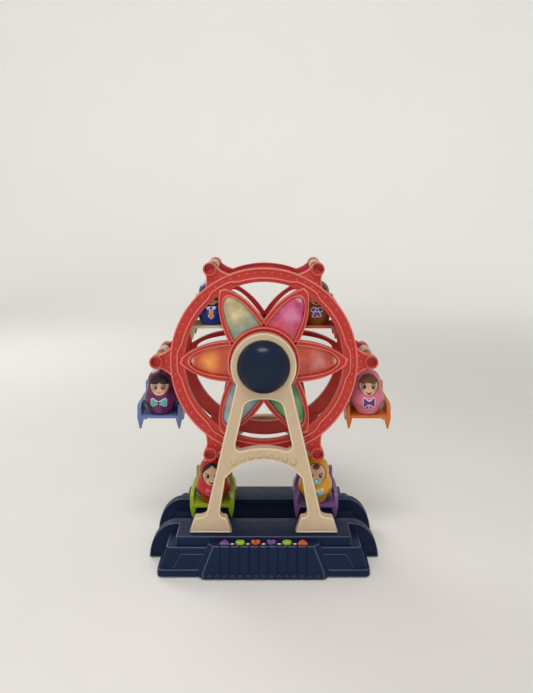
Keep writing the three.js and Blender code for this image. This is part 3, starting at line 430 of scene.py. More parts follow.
def bumpy(tree, height, strength, depth):
    node = addNode(tree, "ShaderNodeBump", {"Height": height, "Strength": strength, "Distance": depth * unit})
    return node.outputs["Normal"]


def attribute(tree, name):
    return addNode(tree, "ShaderNodeAttribute", attribute_name=name).outputs


# For each kind of surface: the noise of its tone, gloss and grain, how far its gloss varies, how deep
# its grain is and what its shader is set to.
surfaceLooks = {
    "plastic": {
        "drift": (60.0, 4.0), "gloss": (240.0, 5.0), "vary": (-0.06, 0.08), "grain": (2600.0, 2.0),
        "depth": 0.05, "shader": {"Coat Roughness": 0.18},
    },
    "lacquer": {
        "drift": (110.0, 3.0), "gloss": (300.0, 3.0), "vary": (-0.04, 0.07), "grain": (900.0, 2.0),
        "depth": 0.05, "shader": {"Specular IOR Level": 0.3, "Coat Weight": 0.25, "Coat Roughness": 0.16},
    },
    "skin": {
        "drift": (150.0, 3.0), "gloss": (320.0, 3.0), "vary": (-0.06, 0.06),
        "shader": {"Specular IOR Level": 0.25, "Coat Weight": 0.1, "Coat Roughness": 0.2},
    },
    "metal": {
        "drift": (500.0, 6.0, 0.7), "gloss": (1500.0, 4.0), "vary": (-0.08, 0.12), "grain": (3000.0, 2.0),
        "depth": 0.03, "shader": {"Metallic": 1.0},
    },
    "clear": {
        "drift": (90.0, 3.0), "gloss": (200.0, 3.0), "vary": (-0.04, 0.04), "grain": (500.0, 2.0),
        "depth": 0.05, "shader": {"Transmission Weight": 1.0, "IOR": 1.06, "Alpha": 0.35},
    },
}


# Paint that drifts between two tones, with uneven gloss and a fine grain; mark 1 shows the edge's tone: a
# painted highlight on plastic, blush on the skin.
def surface(name, kind, tones, rough, grain=None, edge=None, **inputs):
    look = surfaceLooks[kind]
    material, tree, shader = newMaterial(name)
    paint = mixed(tree, spread(tree, look["drift"]), *tones)
    if edge:
        paint = mixed(tree, attribute(tree, "mark")["Fac"], paint, colour(*edge))
    gloss = spread(tree, look["gloss"], *[rough + change for change in look["vary"]])
    setInputs(tree, shader, {"Base Color": paint, "Roughness": gloss, **look["shader"], **inputs})
    if grain:
        normal = bumpy(tree, noise(tree, *look["grain"]), grain, look["depth"])
        setInputs(tree, shader, {"Normal": normal})
    return material


white = (255, 255, 255)


def shades(tone, low, high):
    return shade(colour(*tone), low), shade(colour(*tone), high)


# Moulded plastic: slow colour drift, fine moulding grain, uneven gloss and a lighter edge tone on raised
# edges, which is a painted highlight.
def plastic(name, tone, edge=None, rough=0.35, coat=0.2, grain=0.25, cloud=0.08, shine=0.4, sheen=None):
    return surface(name, "plastic", shades(tone, 1 - cloud, 1 + cloud), rough, grain, edge, **{
        "Specular IOR Level": shine, "Specular Tint": colour(*sheen or white), "Coat Weight": coat,
    })


# Lacquered paint on the dolls: glossier, with a faint orange-peel surface.
def lacquer(name, tone, rough=0.22):
    duller, brighter = 0.93, 1.06
    return surface(name, "lacquer", shades(tone, duller, brighter), rough, grain=0.12)


# The lit lenses take their glow from the tint attribute, broken up by moulded facets.
def litLens(name, glow):
    material, tree, shader = newMaterial(name)
    tint = attribute(tree, "tint")["Color"]
    deep = addNode(tree, "ShaderNodeHueSaturation", {"Value": 0.62, "Saturation": 1.15, "Color": tint})
    glowing = mixed(tree, spread(tree, (130.0, 4.0)), deep.outputs["Color"], tint)
    cells = addNode(tree, "ShaderNodeTexVoronoi", {"Vector": place(tree, 420.0), "Scale": 1.0})
    setInputs(tree, shader, {
        "Base Color": glowing, "Emission Color": glowing, "Emission Strength": glow, "Roughness": 0.12,
        "Coat Weight": 0.8, "Coat Roughness": 0.05,
        "Normal": bumpy(tree, cells.outputs["Distance"], 0.35, 0.25),
    })
    return material


keyShine = {"rough": 0.3, "coat": 0.4}
# An edge tone is a lighter copy of the plastic's own tone: a painted highlight where the mark attribute is 1.
plastics = {
    "red_plastic_shown": {
        "tone": (186, 50, 42), "edge": (226, 118, 104), "rough": 0.36, "coat": 0.08, "cloud": 0.04,
        "shine": 0.3,
    },
    # The rivets are a lighter red than the rim they stand on: a painted highlight.
    "red_rivet_painted_highlight_shown": {"tone": (206, 84, 72), "rough": 0.3},
    "cream_plastic_shown": {
        "tone": (205, 181, 148), "edge": (240, 226, 200), "rough": 0.45, "coat": 0.05, "grain": 0.3,
        "cloud": 0.05, "shine": 0.35,
    },
    "navy_plastic_shown": {
        "tone": (27, 38, 63), "edge": (58, 70, 98), "rough": 0.46, "coat": 0.0, "grain": 0.3, "shine": 0.14,
        "sheen": (190, 212, 255),
    },
    # The lighter navy on the base's rounded edges is a painted highlight.
    "navy_edge_painted_highlight_shown": {"tone": (58, 70, 98)},
    "dome_plastic_shown": {
        "tone": (14, 31, 54), "rough": 0.2, "coat": 0.0, "grain": 0.04, "cloud": 0.05, "shine": 0.2,
    },
    "key_mark_paint": {"tone": (236, 236, 218), "rough": 0.5, "coat": 0.0, "grain": 0.1, "cloud": 0.03},
    "white_plastic_shown": {"tone": (226, 222, 212), "rough": 0.45, "coat": 0.1},
    "black_plastic_shown": {"tone": (30, 30, 33), "edge": (70, 70, 76), "rough": 0.5, "coat": 0.1},
    "black_rubber_shown": {"tone": (26, 26, 28), "rough": 0.75, "coat": 0.0, "grain": 0.5},
    "green_coating_shown": {"tone": (36, 98, 58), "coat": 0.3},
    "battery_jacket_shown": {"tone": (176, 120, 60), **keyShine},
    "purple_key_shown": {"tone": (126, 78, 158), **keyShine},
    "lime_key_shown": {"tone": (158, 196, 36), **keyShine},
    "orange_key_shown": {"tone": (228, 92, 40), **keyShine},
}
finish = {name: plastic(name, **look) for name, look in plastics.items()}
redPlastic, creamPlastic = finish["red_plastic_shown"], finish["cream_plastic_shown"]
navyPlastic, blackPlastic = finish["navy_plastic_shown"], finish["black_plastic_shown"]
whitePlastic, greenBoard = finish["white_plastic_shown"], finish["green_coating_shown"]
steel = surface("bright_steel_shown", "metal", shades((196, 198, 202), 0.85, 1.1), rough=0.28, grain=0.15)
print("materials made")


# Wheel rims

rimLook = {
    "outer": 73.9, "inner": 62.7, "back": 19.5, "face": 25.5, "round": 0.28, "segments": 240, "rearDrop": 0.4,
    "lip": 1.1, "lipDepth": 0.6, "lipShares": (1.35, 1.3),
    "stepDepth": 0.95, "stepWidth": 0.9, "stepDrop": 0.3,
    # the reach and shares of the lighter edge tone on the lips, the inner step and the band's shoulders are a
    # painted highlight
    "line": 65.4, "lineWidth": 1.0, "lineSlope": 0.35, "lineReach": 0.8, "highlightReach": 0.2, "innerHighlight": 0.5,
    # the raised line runs further out within so many degrees of a petal's tip, over a span of degrees
    "lineDrift": 2.3, "driftFrom": 13.0, "driftSpan": 7.0,
    # the shares of a petal band's width where its raised line starts, ends and falls away
    "bandShares": (0.06, 0.2, 0.27), "shoulder": 0.25, "shoulderHighlight": 0.3,
    "band": [(1.06, 0.03), (0.893, 0.16), (0.702, 0.247), (0.447, 0.2576)],
    "window": [(0.93, 0.0), (0.93, 0.1), (0.76, 0.17), (0.41, 0.2)],
    "root": 20.0, "rootSteps": 4, "steps": 20,
    "pivot": 84.4, "finStart": 70.5, "finBase": 14.1, "finBend": (76.1, 6.3), "finTip": 4.7, "finSteps": 10,
    "finDrop": 0.3, "finSink": 0.25, "finBorder": 0.5, "finInset": (0.1, 0.5),
    "rivets": 11, "rivetPlace": 70.2, "rivetRadius": 0.9, "rivetHeight": 0.65,
    "finRivets": [(76.6, 0.0), (74.6, 4.6), (74.6, -4.6)],
}
bossLook = {
    "section": [
        (0.0, -19.5), (5.1, -19.5), (5.3, -28.5), (4.65, -28.55), (4.0, -28.5), (3.7, -23.5), (0.0, -23.3),
    ],
    # mark: the share of a painted highlight, and the depth in front of which it is painted
    "round": 0.5, "segments": 36, "mark": (0.3, -28.2),
}
hubLook = {
    "section": [
        (0.0, -21.7), (28.3, -21.7), (28.3, -31.5), (27.1, -31.5), (26.6, -30.9), (24.6, -30.9), (24.1, -31.5),
        (22.9, -31.5), (22.4, -30.7), (4.4, -30.7), (3.9, -31.3), (0.0, -31.3),
    ],
    # mark: the share of a painted highlight, and the depth in front of which it is painted
    "round": 0.25, "roundSteps": 2, "segments": 72, "mark": (1.0, -31.35),
}
postLook = {
    "section": [
        (0.0, -20.5), (3.7, -20.5), (3.7, -18.6), (3.0, -17.6), (3.0, 18.2), (4.3, 18.4), (4.3, 20.5),
        (0.0, 20.5),
    ],
    "round": 0.3, "segments": 24,
}
drumLook = {
    "section": [
        (17.8, 0.0), (17.8, -19.5), (20.0, -19.5), (20.0, -8.2), (19.2, -7.4), (19.2, 7.4), (20.0, 8.2),
        (20.0, 19.5), (17.8, 19.5), (17.8, 0.0),
    ],
    "round": 0.4, "segments": 72,
}
lift = Matrix.Translation((0, 0, axleHeight))
ends = (("front", Matrix.Identity(4), -1), ("rear", Matrix.Scale(-1, 4, (0, 1, 0)), 1))


# Points of the ring's section as radius, y, mark and how far they drift with the raised line; the mark is the
# share of a painted highlight.
def ringProfile():
    look = rimLook
    face, back = -look["face"], -look["back"]
    low, deep, rear = face + look["lipDepth"], face + look["stepDepth"], back - look["rearDrop"]
    outer, inner, lip, line = look["outer"], look["inner"], look["lip"], look["line"]
    middle = (face + back) / 2
    top, slope, reach, edge = line + look["lineWidth"], look["lineSlope"], look["lineReach"], look["highlightReach"]
    lipEnd, rearEnd = [lip * share for share in look["lipShares"]]
    points = [
        (outer, middle), (outer, face), (outer - lip, face), (outer - lipEnd, low), (top + slope, low),
        (top, face), (line, face), (line - slope, deep), (inner + look["stepWidth"], deep),
        (inner, deep + look["stepDrop"]), (inner, back), (inner + lip, back), (inner + rearEnd, rear),
        (outer - rearEnd, rear), (outer - lip, back), (outer, back), (outer, middle),
    ]
    made = []
    for radius, y in roundCorners(points, look["round"], 2):
        drift = 1.0 if y < middle and line - reach < radius < top + reach else 0.0
        inside = look["innerHighlight"] if radius < inner + 2 * edge and y < deep + 2 * edge else 0.0
        made.append((radius, y, 1.0 if y < face + edge else inside, drift))
    return made


def cabinAngles():
    return roundTurn(cabins)


# The ring's raised line runs further out round each petal's tip.
def ringShape():
    look = rimLook
    points, faces, marks = lathe([entry[:3] for entry in ringProfile()], look["segments"])
    drifts = [entry[3] for entry in ringProfile() for _ in range(look["segments"])]
    sector = 2 * math.pi / cabins
    moved = []
    for (x, y, z), drift in zip(points, drifts):
        away = math.degrees(abs((math.atan2(z, x) + sector / 2) % sector - sector / 2))
        share = min(1.0, max(0.0, (look["driftFrom"] - away) / look["driftSpan"]))
        grow = 1 + drift * look["lineDrift"] * share * share * (3 - 2 * share) / math.hypot(x, z)
        moved.append((x * grow, y, z * grow))
    return moved, faces, marks


# Half of a petal's outline from its tip to its root.
def petalHalf(shares, inset):
    look = rimLook
    (tip, out), *others = [(along * look["inner"], out * look["inner"] - inset) for along, out in shares]
    (bend, bendOut), *last = others
    half = bezier([(tip - inset, out + inset), (bend - inset, bendOut), *last], look["steps"])
    (x, z), steps = last[-1], look["rootSteps"]
    return half + [(x + (look["root"] - x) * i / steps, z) for i in range(1, steps + 1)]


def petalLine(name):
    half = petalHalf(rimLook[name], 0.0)
    return half[::-1] + [(x, -z) for x, z in half[1:]]


# A petal's band lies between two outlines and has a raised line along each, marked with a painted highlight.
def petalBand():
    look = rimLook
    face, back = -look["face"], -look["back"]
    start, end, foot = look["bandShares"]
    section = [
        (foot, back - look["rearDrop"], 0.0), (end, back, 0.0), (0.0, back, 0.0),
        (0.0, face + look["shoulder"], look["shoulderHighlight"]), (start, face, 1.0), (end, face, 1.0),
        (foot, face + look["lipDepth"], 0.0),
    ]
    section += [(1 - share, y, mark) for share, y, mark in section[::-1]]
    rows = []
    for outside, inside in zip(petalLine("band"), petalLine("window")):
        across = [(blend(outside, inside, share), y) for share, y, _ in section]
        rows.append([(x, y, z) for (x, z), y in across])
    points, faces, _ = loft(rows)
    return points, faces, [mark for _, _, mark in section] * len(rows)


# A bracket from the ring out to the boss, with hollowed sides and a raised border that carries a painted
# highlight.
def addFin(sector):
    look = rimLook
    side = [(look["finStart"], look["finBase"])]
    side += curveThrough(side[0], look["finBend"], (look["pivot"], look["finTip"]), look["finSteps"])
    outline = anticlockwise(side + [(x, -z) for x, z in side[::-1]])
    face, back = look["finDrop"] - look["face"], -look["back"]
    sector.addMesh(slab(outline, [], back - face, look["finDrop"]), upright(face, back))
    inward, narrower = look["finInset"]
    for end in (1, -1):
        border = [(x - inward, look["finSink"] - look["face"], end * (z - narrower)) for x, z in side[1:]]
        sector.add(bead(border, look["finBorder"], closed=False))


# Turned copies of a sector's shapes, one towards each cabin.
def aroundAxle(sector):
    whole = Parts()
    for angle in cabinAngles():
        whole.join(sector.turned(Matrix.Rotation(-angle, 4, "Y")))
    return whole


# The rim at the front also has the cross posts, which run into sockets in the other rim.
def rimParts(withPosts):
    whole = Parts(ringShape())
    sector = Parts(petalBand())
    addFin(sector)
    sector.add(turnedPart(bossLook, rimLook["pivot"]))
    whole.join(aroundAxle(sector))
    whole.add(turnedPart(hubLook))
    if withPosts:
        whole.join(aroundAxle(Parts(turnedPart(postLook, rimLook["pivot"]))))
    return whole


# Geometry Nodes tree that stands a small dome on every point of a mesh.
def domeTree(name):
    tree = bpy.data.node_groups.new(name, "GeometryNodeTree")
    inputs = {"Geometry": "Geometry", "Radius": "Float", "Height": "Float", "Material": "Material"}
    for label, kind in inputs.items():
        tree.interface.new_socket(name=label, in_out="INPUT", socket_type="NodeSocket" + kind)
    tree.interface.new_socket(name="Geometry", in_out="OUTPUT", socket_type="NodeSocketGeometry")
    given = addNode(tree, "NodeGroupInput").outputs
    ball = addNode(tree, "GeometryNodeMeshUVSphere", {"Segments": 16, "Rings": 10, "Radius": given["Radius"]})
    ratio = addNode(tree, "ShaderNodeMath", {0: given["Height"], 1: given["Radius"]}, operation="DIVIDE")
    size = addNode(tree, "ShaderNodeCombineXYZ", {"X": 1.0, "Y": 1.0, "Z": ratio.outputs[0]})
    facing = addNode(tree, "GeometryNodeInputNamedAttribute", {"Name": "facing"}, data_type="FLOAT_VECTOR")
    turn = addNode(tree, "FunctionNodeAlignRotationToVector", {
        "Vector": facing.outputs["Attribute"],
    }, axis="Z")
    stand = addNode(tree, "GeometryNodeInstanceOnPoints", {
        "Points": given["Geometry"], "Instance": ball.outputs["Mesh"], "Rotation": turn.outputs["Rotation"],
        "Scale": size.outputs["Vector"],
    })
    real = addNode(tree, "GeometryNodeRealizeInstances", {"Geometry": stand.outputs["Instances"]})
    paint = addNode(tree, "GeometryNodeSetMaterial", {
        "Geometry": real.outputs["Geometry"], "Material": given["Material"],
    })
    addNode(tree, "NodeGroupOutput", {"Geometry": paint.outputs["Geometry"]})
    return tree


domes = domeTree("domes_on_points")


# Domes on points, facing to the front or to the rear, as one plain mesh.
def showDomes(name, places, sign, radius, height, material, body):
    mesh = bpy.data.meshes.new(name + "_points")
    mesh.from_pydata([Vector(p) * unit for p in places], [], [])
    facing = mesh.attributes.new("facing", "FLOAT_VECTOR", "POINT")
    facing.data.foreach_set("vector", [0, sign, 0] * len(places))
    carrier = addObject(name + "_points", mesh)
    standing = carrier.modifiers.new("domes", "NODES")
    standing.node_group = domes
    sockets = {item.name: item.identifier for item in domes.interface.items_tree if item.in_out == "INPUT"}
    for label, value in (("Radius", radius * unit), ("Height", height * unit), ("Material", material)):
        standing[sockets[label]] = value
    made = bake(carrier)
    made.polygons.foreach_set("use_smooth", [True] * len(made.polygons))
    made.materials.clear()
    show(addObject(name, made, [material]), body)


def rivetPlaces(sign):
    look = rimLook
    count = look["rivets"] * cabins
    face = sign * (look["face"] - look["lipDepth"])
    angles = [2 * math.pi * (i + 0.5) / count for i in range(count)]
    places = [(look["rivetPlace"] * math.cos(a), face, look["rivetPlace"] * math.sin(a)) for a in angles]
    for a in cabinAngles():
        for along, out in look["finRivets"]:
            x, z = along * math.cos(a) - out * math.sin(a), along * math.sin(a) + out * math.cos(a)
            places.append((x, sign * (look["face"] - look["finDrop"]), z))
    return [(x, y, z + axleHeight) for x, y, z in places]


lensLook = {
    "front": 24.9, "edge": 23.4, "back": 19.8, "inset": 0.3, "across": 10, "crownEnd": 1.02, "crownRise": 5,
    "disc": 30.0, "discFace": 21.5, "segments": 72, "glow": 0.14,
    # the painted highlight at a petal's tip and the glow by its bulb: place along the petal, length and width
    "cap": (240, 206, 184), "tipHighlightSpot": (0.955, 0.035, 0.6), "tipHighlightShare": 0.75, "glowSpot": (0.6, 0.17, 0.75),
    # how much of the hub's tone shows at a petal's root, and how fast it fades outwards
    "hub": (204, 104, 62), "hubShare": 0.9, "hubFade": 3.2,
    # tip colour, root colour and glow colour of each petal, from the right, anticlockwise
    "tints": [
        ((182, 40, 8), (192, 54, 16), (208, 132, 124)),
        ((190, 58, 114), (204, 66, 84), (226, 140, 176)),
        ((200, 176, 130), (86, 148, 136), (214, 196, 150)),
        ((192, 48, 8), (196, 56, 12), (240, 156, 56)),
        ((128, 178, 182), (112, 166, 172), (222, 136, 96)),
        ((72, 138, 74), (58, 124, 60), (164, 200, 150)),
    ],
}


def softSpot(spot, along, across):
    middle, length, width = spot
    return math.exp(-((along - middle) / length) ** 2 - (across / width) ** 2)


# A petal's tint at a share of its length from the root and a share of its half width from the middle.
def lensTint(petal, along, across):
    look = lensLook
    tip, root, glow = [colour(*tone) for tone in petal]
    tint = blend(root, tip, along)
    tint = blend(tint, glow, softSpot(look["glowSpot"], along, across))
    tint = blend(tint, colour(*look["hub"]), max(0.0, look["hubShare"] - along * look["hubFade"]))
    # A pale painted highlight near each petal's tip.
    return blend(tint, colour(*look["cap"]), look["tipHighlightShare"] * softSpot(look["tipHighlightSpot"], along, across))


# The lens has a crowned blade for each petal and a disc behind the hub; a tint goes with every point.
def lensParts():
    look = lensLook
    half = petalHalf(rimLook["window"], look["inset"])
    tip, root = half[0][0], half[-1][0]
    steps = [2 * k / look["across"] - 1 for k in range(look["across"] + 1)]
    rows, places = [], []
    for x, z in half:
        along = (x - root) / (tip - root)
        rise = (look["front"] - look["edge"]) * min(1.0, (look["crownEnd"] - along) * look["crownRise"])
        row = [(x, -look["edge"] - rise * (1 - v * v), z * v) for v in steps]
        rows.append(row + [(x, -look["back"], z), (x, -look["back"], -z)])
        places += [(along, v) for v in steps] + [(along, steps[-1])] * 2
    whole = aroundAxle(Parts(loft(rows)))
    tints = [lensTint(petal, *spot) for petal in look["tints"] for spot in places]
    section = [(0.0, -look["back"]), (look["disc"], -look["back"])]
    disc = lathe(section + [(radius, -look["discFace"]) for radius, _ in section[::-1]], look["segments"])
    whole.add(disc)
    return whole, tints + [colour(*look["hub"])] * len(disc[0])


def showLens(name, node, matrix, material):
    parts, tints = lensParts()
    piece = parts.turned(matrix).build(name, [material], angle=60.0)
    tint = piece.data.attributes.new("tint", "FLOAT_COLOR", "POINT")
    tint.data.foreach_set("color", [value for tone in tints for value in tone])
    show(piece, "wheel", node)


def showWheel():
    look = rimLook
    clear = (colour(236, 240, 240), colour(250, 250, 248))
    lenses = {
        "front": litLens("lit_lens_shown", lensLook["glow"]),
        "rear": surface("clear_lens_shown", "clear", clear, rough=0.06, grain=0.1),
    }
    for end, mirror, sign in ends:
        name = end + "_rim_shown"
        rim = rimParts(end == "front").turned(lift @ mirror)
        show(rim.build(name, [redPlastic]), "wheel", end + "_rim")
        showDomes(
            name + "_rivets", rivetPlaces(sign), sign, look["rivetRadius"], look["rivetHeight"],
            finish["red_rivet_painted_highlight_shown"], "wheel",
        )
    for end, mirror, _ in ends:
        showLens(end + "_lens_shown", end + "_lens", lift @ mirror, lenses[end])
    drum = Parts(turnedPart(drumLook, 0.0, axleHeight))
    show(drum.build("hub_drum_shown", [redPlastic]), "wheel", "hub_drum")
    dress("wheel", {
        "axle": steel, "axle_clip": blackPlastic, "drive_gear": whitePlastic, "light_board": greenBoard,
    }, width=0.1)
    dress("pinion", {"motor_pinion": steel}, width=0.05)


showWheel()
print("wheel made")


# A-frames

frameLook = {
    "near": 34.0, "far": 41.5, "foot": 28.3, "ring": 25.3, "legTopOut": 21.0, "legWidth": 10.0,
    "ankleOut": 43.6, "ankleHeight": 16.5, "footOut": 57.1, "footIn": 24.7, "footHeight": 11.8,
    "footSlope": 3.8, "shoulder": 1.8, "ringSteps": 26, "archSteps": 12, "bendSteps": 6, "turnSteps": 5,
    "cornerSteps": 4,
    "archHeight": 56.2, "archHalf": 24.7, "archRise": 9.2, "beam": 9.8, "corner": 5.0,
    "bevel": 0.6, "border": 0.42, "borderInset": 0.75, "borderSink": 0.1,
    "studs": 8, "studPitch": 6.56, "studHeight": 4.3, "studDrop": 5.4, "studRadius": 2.4, "studProud": 1.6,
    "domeRadius": 20.5, "domeHeight": 13.7, "domeStep": 0.1, "domeSeat": 0.3,
    "domeSteps": 24, "domeSegments": 96,
}
coverLook = {
    "section": [
        (0.0, 42.0), (24.5, 42.0), (24.5, 43.8), (21.6, 43.8), (20.5, 44.6), (20.5, 57.1), (15.8, 57.1),
        (15.3, 56.5), (8.0, 56.5), (7.5, 57.1), (0.0, 57.1),
    ],
    "round": 0.7, "segments": 96,
}


# The frame's outline and the window between its legs.
def frameLines():
    look = frameLook
    foot, ring, top, out = look["foot"], look["ring"], look["legTopOut"], look["ankleOut"]
    shoulder = look["shoulder"]
    ankle, footTop = foot + look["ankleHeight"], foot + look["footHeight"]
    joinZ = axleHeight - math.sqrt(ring ** 2 - top ** 2)
    start = math.degrees(math.atan2(joinZ - axleHeight, top))
    ankleIn = out - look["legWidth"]
    half, rise, archTop = look["archHalf"], look["archRise"], foot + look["archHeight"]
    bend, tight = look["bendSteps"], look["cornerSteps"]
    radius = (half ** 2 + rise ** 2) / (2 * rise)
    spanned = math.degrees(math.asin(half / radius))
    outer, inner = look["footOut"] - look["footSlope"], look["footIn"] + look["footSlope"]
    low = footTop - shoulder
    lean = look["footSlope"] * shoulder / look["footHeight"]
    right = arc(0, axleHeight, ring, 90, start, look["ringSteps"]) + [(out, ankle)]
    right += curveThrough(right[-1], (out, footTop), (outer - shoulder, footTop), bend)
    right += curveThrough(right[-1], (outer, footTop), (outer + lean, low), tight)
    right += [(look["footOut"], foot), (look["footIn"], foot), (inner - lean, low)]
    right += curveThrough(right[-1], (inner, footTop), (inner + shoulder, footTop), tight)
    right += curveThrough(right[-1], (ankleIn, footTop), (ankleIn, ankle), bend)
    right += [(half + rise / 2, archTop - rise - rise / 2)]
    right += arc(0, archTop - radius, radius, 90 - spanned, 90, look["archSteps"])

    def innerX(z):
        return top - look["legWidth"] + (out - top) * (joinZ - z) / (joinZ - ankle)

    corner = look["corner"]
    beamTop = archTop + look["beam"]
    lowZ, cornerZ, topZ = beamTop - corner / 2, beamTop + corner / 2, axleHeight - ring - corner
    beamX, topX = innerX(beamTop), innerX(topZ)
    side = [(0.0, beamTop)]
    side += curveThrough(side[-1], ((beamX - corner) / 2, beamTop), (beamX - corner, lowZ), bend)
    side += curveThrough(side[-1], (beamX, lowZ), (innerX(cornerZ), cornerZ), look["turnSteps"])
    side += [(topX, topZ)]
    side += curveThrough(side[-1], (topX - corner / 2, topZ + corner), (0.0, axleHeight - ring), bend)
    return anticlockwise(bothHalves(right)), anticlockwise(bothHalves(side))


def frameParts():
    look = frameLook
    outline, window = frameLines()
    parts = Parts()
    plate = slab(outline, [window], look["far"] - look["near"], look["bevel"])
    parts.addMesh(plate, upright(-look["far"], -look["near"]))
    # The borders are beads in the lighter cream edge tone, a painted highlight.
    for line, inset in ((outline, look["borderInset"]), (window, -look["borderInset"])):
        border = [(x, look["borderSink"] - look["far"], z) for x, z in offsetOutline(line, inset)]
        parts.add(bead(border, look["border"]))
    return parts


def studPlaces(sign):
    look = frameLook
    row = rowOf(look["studs"], look["studPitch"])
    top = look["foot"] + look["archHeight"] + look["studHeight"]
    return [(x, sign * look["far"], top - look["studDrop"] * (x / row[-1]) ** 2) for x in row]


def showFrames():
    look = frameLook
    for end, mirror, sign in ends:
        name = end + "_frame_shown"
        show(frameParts().turned(mirror).build(name, [creamPlastic]), "base", end + "_frame")
        showDomes(
            name + "_studs", studPlaces(sign), sign, look["studRadius"], look["studProud"],
            creamPlastic, "base",
        )
    radius, height, seat = look["domeRadius"], look["domeHeight"], -look["far"] - look["domeSeat"]
    turns = [math.pi / 2 * i / look["domeSteps"] for i in range(look["domeSteps"])]
    section = [(0.0, seat), (radius - look["domeStep"], seat)]
    section += [(radius * math.cos(a), seat - height * math.sin(a)) for a in turns] + [(0.0, seat - height)]
    cap = Parts(lathe(section, look["domeSegments"], 0.0, axleHeight))
    show(cap.build("front_hub_cap_shown", [finish["dome_plastic_shown"]], angle=50.0), "base", "front_hub_cap")
    cover = Parts(turnedPart(coverLook, 0.0, axleHeight))
    show(cover.build("motor_cover_shown", [navyPlastic]), "base", "motor_cover")
    dress("base", {"gearbox_plate": whitePlastic, "gear_motor": steel}, width=0.1)


showFrames()
print("frames made")


# Base

baseLook = {
    "bottom": 0.8, "wall": 2.2, "fit": 0.3,
    "lip": (80.4, 53.9, 49.9), "lipTop": 6.4, "apronFoot": (79.0, 52.6, 48.6), "tier": (74.0, 49.0, 45.0),
    "tierTop": 21.0, "deck": (66.8, 46.5, 42.5), "deckTop": 28.0, "lipCorner": 4.0, "tierCorner": 3.4,
    "cornerSteps": 6,
    "trough": 17.2, "troughFoot": 14.0, "troughFloor": 12.8, "troughBend": 20.0, "troughReach": 99.0,
    "fender": 8.1, "fenderFlat": 70.0, "fenderReach": 90.7, "fenderRim": 2.0, "fenderSink": 0.7,
    "fenderLap": 6.0, "fenderSteps": 32,
    "shelf": 24.7, "shelfFront": 54.8, "panelFoot": 57.4, "panelLap": 1.0,
    "panelTopFace": 37.7, "panelFootFace": 45.3, "panelBevel": 4.4, "panelRise": 6.0, "panelAngle": 30.0,
    "grooves": 10, "groovePitch": 7.2, "grooveWidth": 1.7, "grooveDepth": 0.8, "grooveFloor": 0.55,
    "bumps": 15, "bumpPitch": 5.75, "bumpRadius": 1.7, "bumpProud": 0.75, "bumpHeight": 2.8,
    "bumpSteps": 10,
    "plateFoot": 68.2, "plateTop": 62.6, "plateInner": 40.0, "plateProud": 0.7,
    "plateLow": 6.8, "plateHigh": 16.6,
    "switchSlot": ((47.0, 52.0), (3.9, 6.5)), "switchEnds": (25.7, 34.3),
    "round": 0.55, "plateRound": 0.35, "bumpRound": 0.3, "steps": 3,
    # how far a shape runs into its neighbour, or a cut runs past the face that it opens
    "lap": 2.0, "cut": 1.0, "rise": 3.0, "keyDepth": 4.0,
}
keyLook = {
    "pitch": 11.8, "count": 6, "y": -50.0, "width": 7.1, "depth": 5.2, "proud": 1.8, "round": 0.9,
    "roundSteps": 4, "flange": 1.3, "flangeWidth": 9.2, "flangeDepth": 4.2,
    "kinds": ["triangle", "round", "heart", "heart", "round", "triangle"],
    "tones": ["purple", "lime", "orange", "purple", "lime", "orange"],
    # how far the sides of a triangle and of a heart bulge, as shares of the key's half width and half depth
    "bulge": 0.7, "cheek": 0.35, "dip": 0.6, "sideSteps": 10, "cheekSteps": 8, "topSteps": 6,
    "roundPoints": 40,
    "dashWidth": 2.8, "dashDepth": 1.7, "dashBack": 1.2, "dashProud": 0.12, "dashSink": 0.2, "dashSteps": 6,
}


# A solid as a temporary object; its sharp edges are rounded if a width is given, and the rounding takes the
# second material, a lighter painted highlight.
def tool(shape, width=0.0, angle=25.0):
    piece = Parts(shape).build("tool", [])
    piece.data.attributes.remove(piece.data.attributes["mark"])
    if width > 0:
        addRounding(piece, width, baseLook["steps"], angle).material = 1
    return piece


# The first solid joined with the others and cut by the removed ones, as one mesh.
def combine(joined, removed, materials):
    first = joined[0]
    for piece in [*joined, *removed]:
        for material in materials:
            piece.data.materials.append(material)
    for operation, others in (("UNION", joined[1:]), ("DIFFERENCE", removed)):
        for other in others:
            step = first.modifiers.new(operation, "BOOLEAN")
            step.operation = operation
            step.solver = "EXACT"
            step.object = other
    made = bake(first)
    for piece in [*joined[1:], *removed]:
        bpy.data.objects.remove(piece)
    smoothByAngle(made, 32.0)
    return made


# A rectangle with round corners at one height, from half width, front and rear.
def plan(size, corner, z, inset=0.0):
    halfWidth, front, rear = [part - inset for part in size]
    right, back, near = halfWidth - corner, rear - corner, corner - front
    corners = ((right, back), (-right, back), (-right, near), (right, near))
    steps = baseLook["cornerSteps"]
    rounds = [arc(cx, cy, corner, 90 * i, 90 * i + 90, steps) for i, (cx, cy) in enumerate(corners)]
    return [(x, y, z) for part in rounds for x, y in part]


def troughShape(thickness):
    look = baseLook
    half, foot = look["trough"] + thickness, look["troughFoot"] + thickness
    floor, bend = look["troughFloor"] - thickness, look["troughBend"] - thickness / 2
    top = look["deckTop"] + look["rise"]
    outline = [(-half, top), (-half, bend), (-foot, floor), (foot, floor), (half, bend), (half, top)]
    return alongX(outline, -look["troughReach"], look["troughReach"])


def fenderOutline(side, inset, bottom):
    look = baseLook
    flat, reach, top = look["fenderFlat"], look["fenderReach"] - inset, look["deckTop"] - inset
    near = look["deck"][0] - look["fenderLap"] + inset
    outline = [(near, bottom)]
    for i in range(look["fenderSteps"] + 1):
        a = math.pi / 2 * i / look["fenderSteps"]
        outline.append((flat + (reach - flat) * math.cos(a), bottom + (top - bottom) * math.sin(a)))
    return [(side * x, z) for x, z in outline + [(near, top)]]


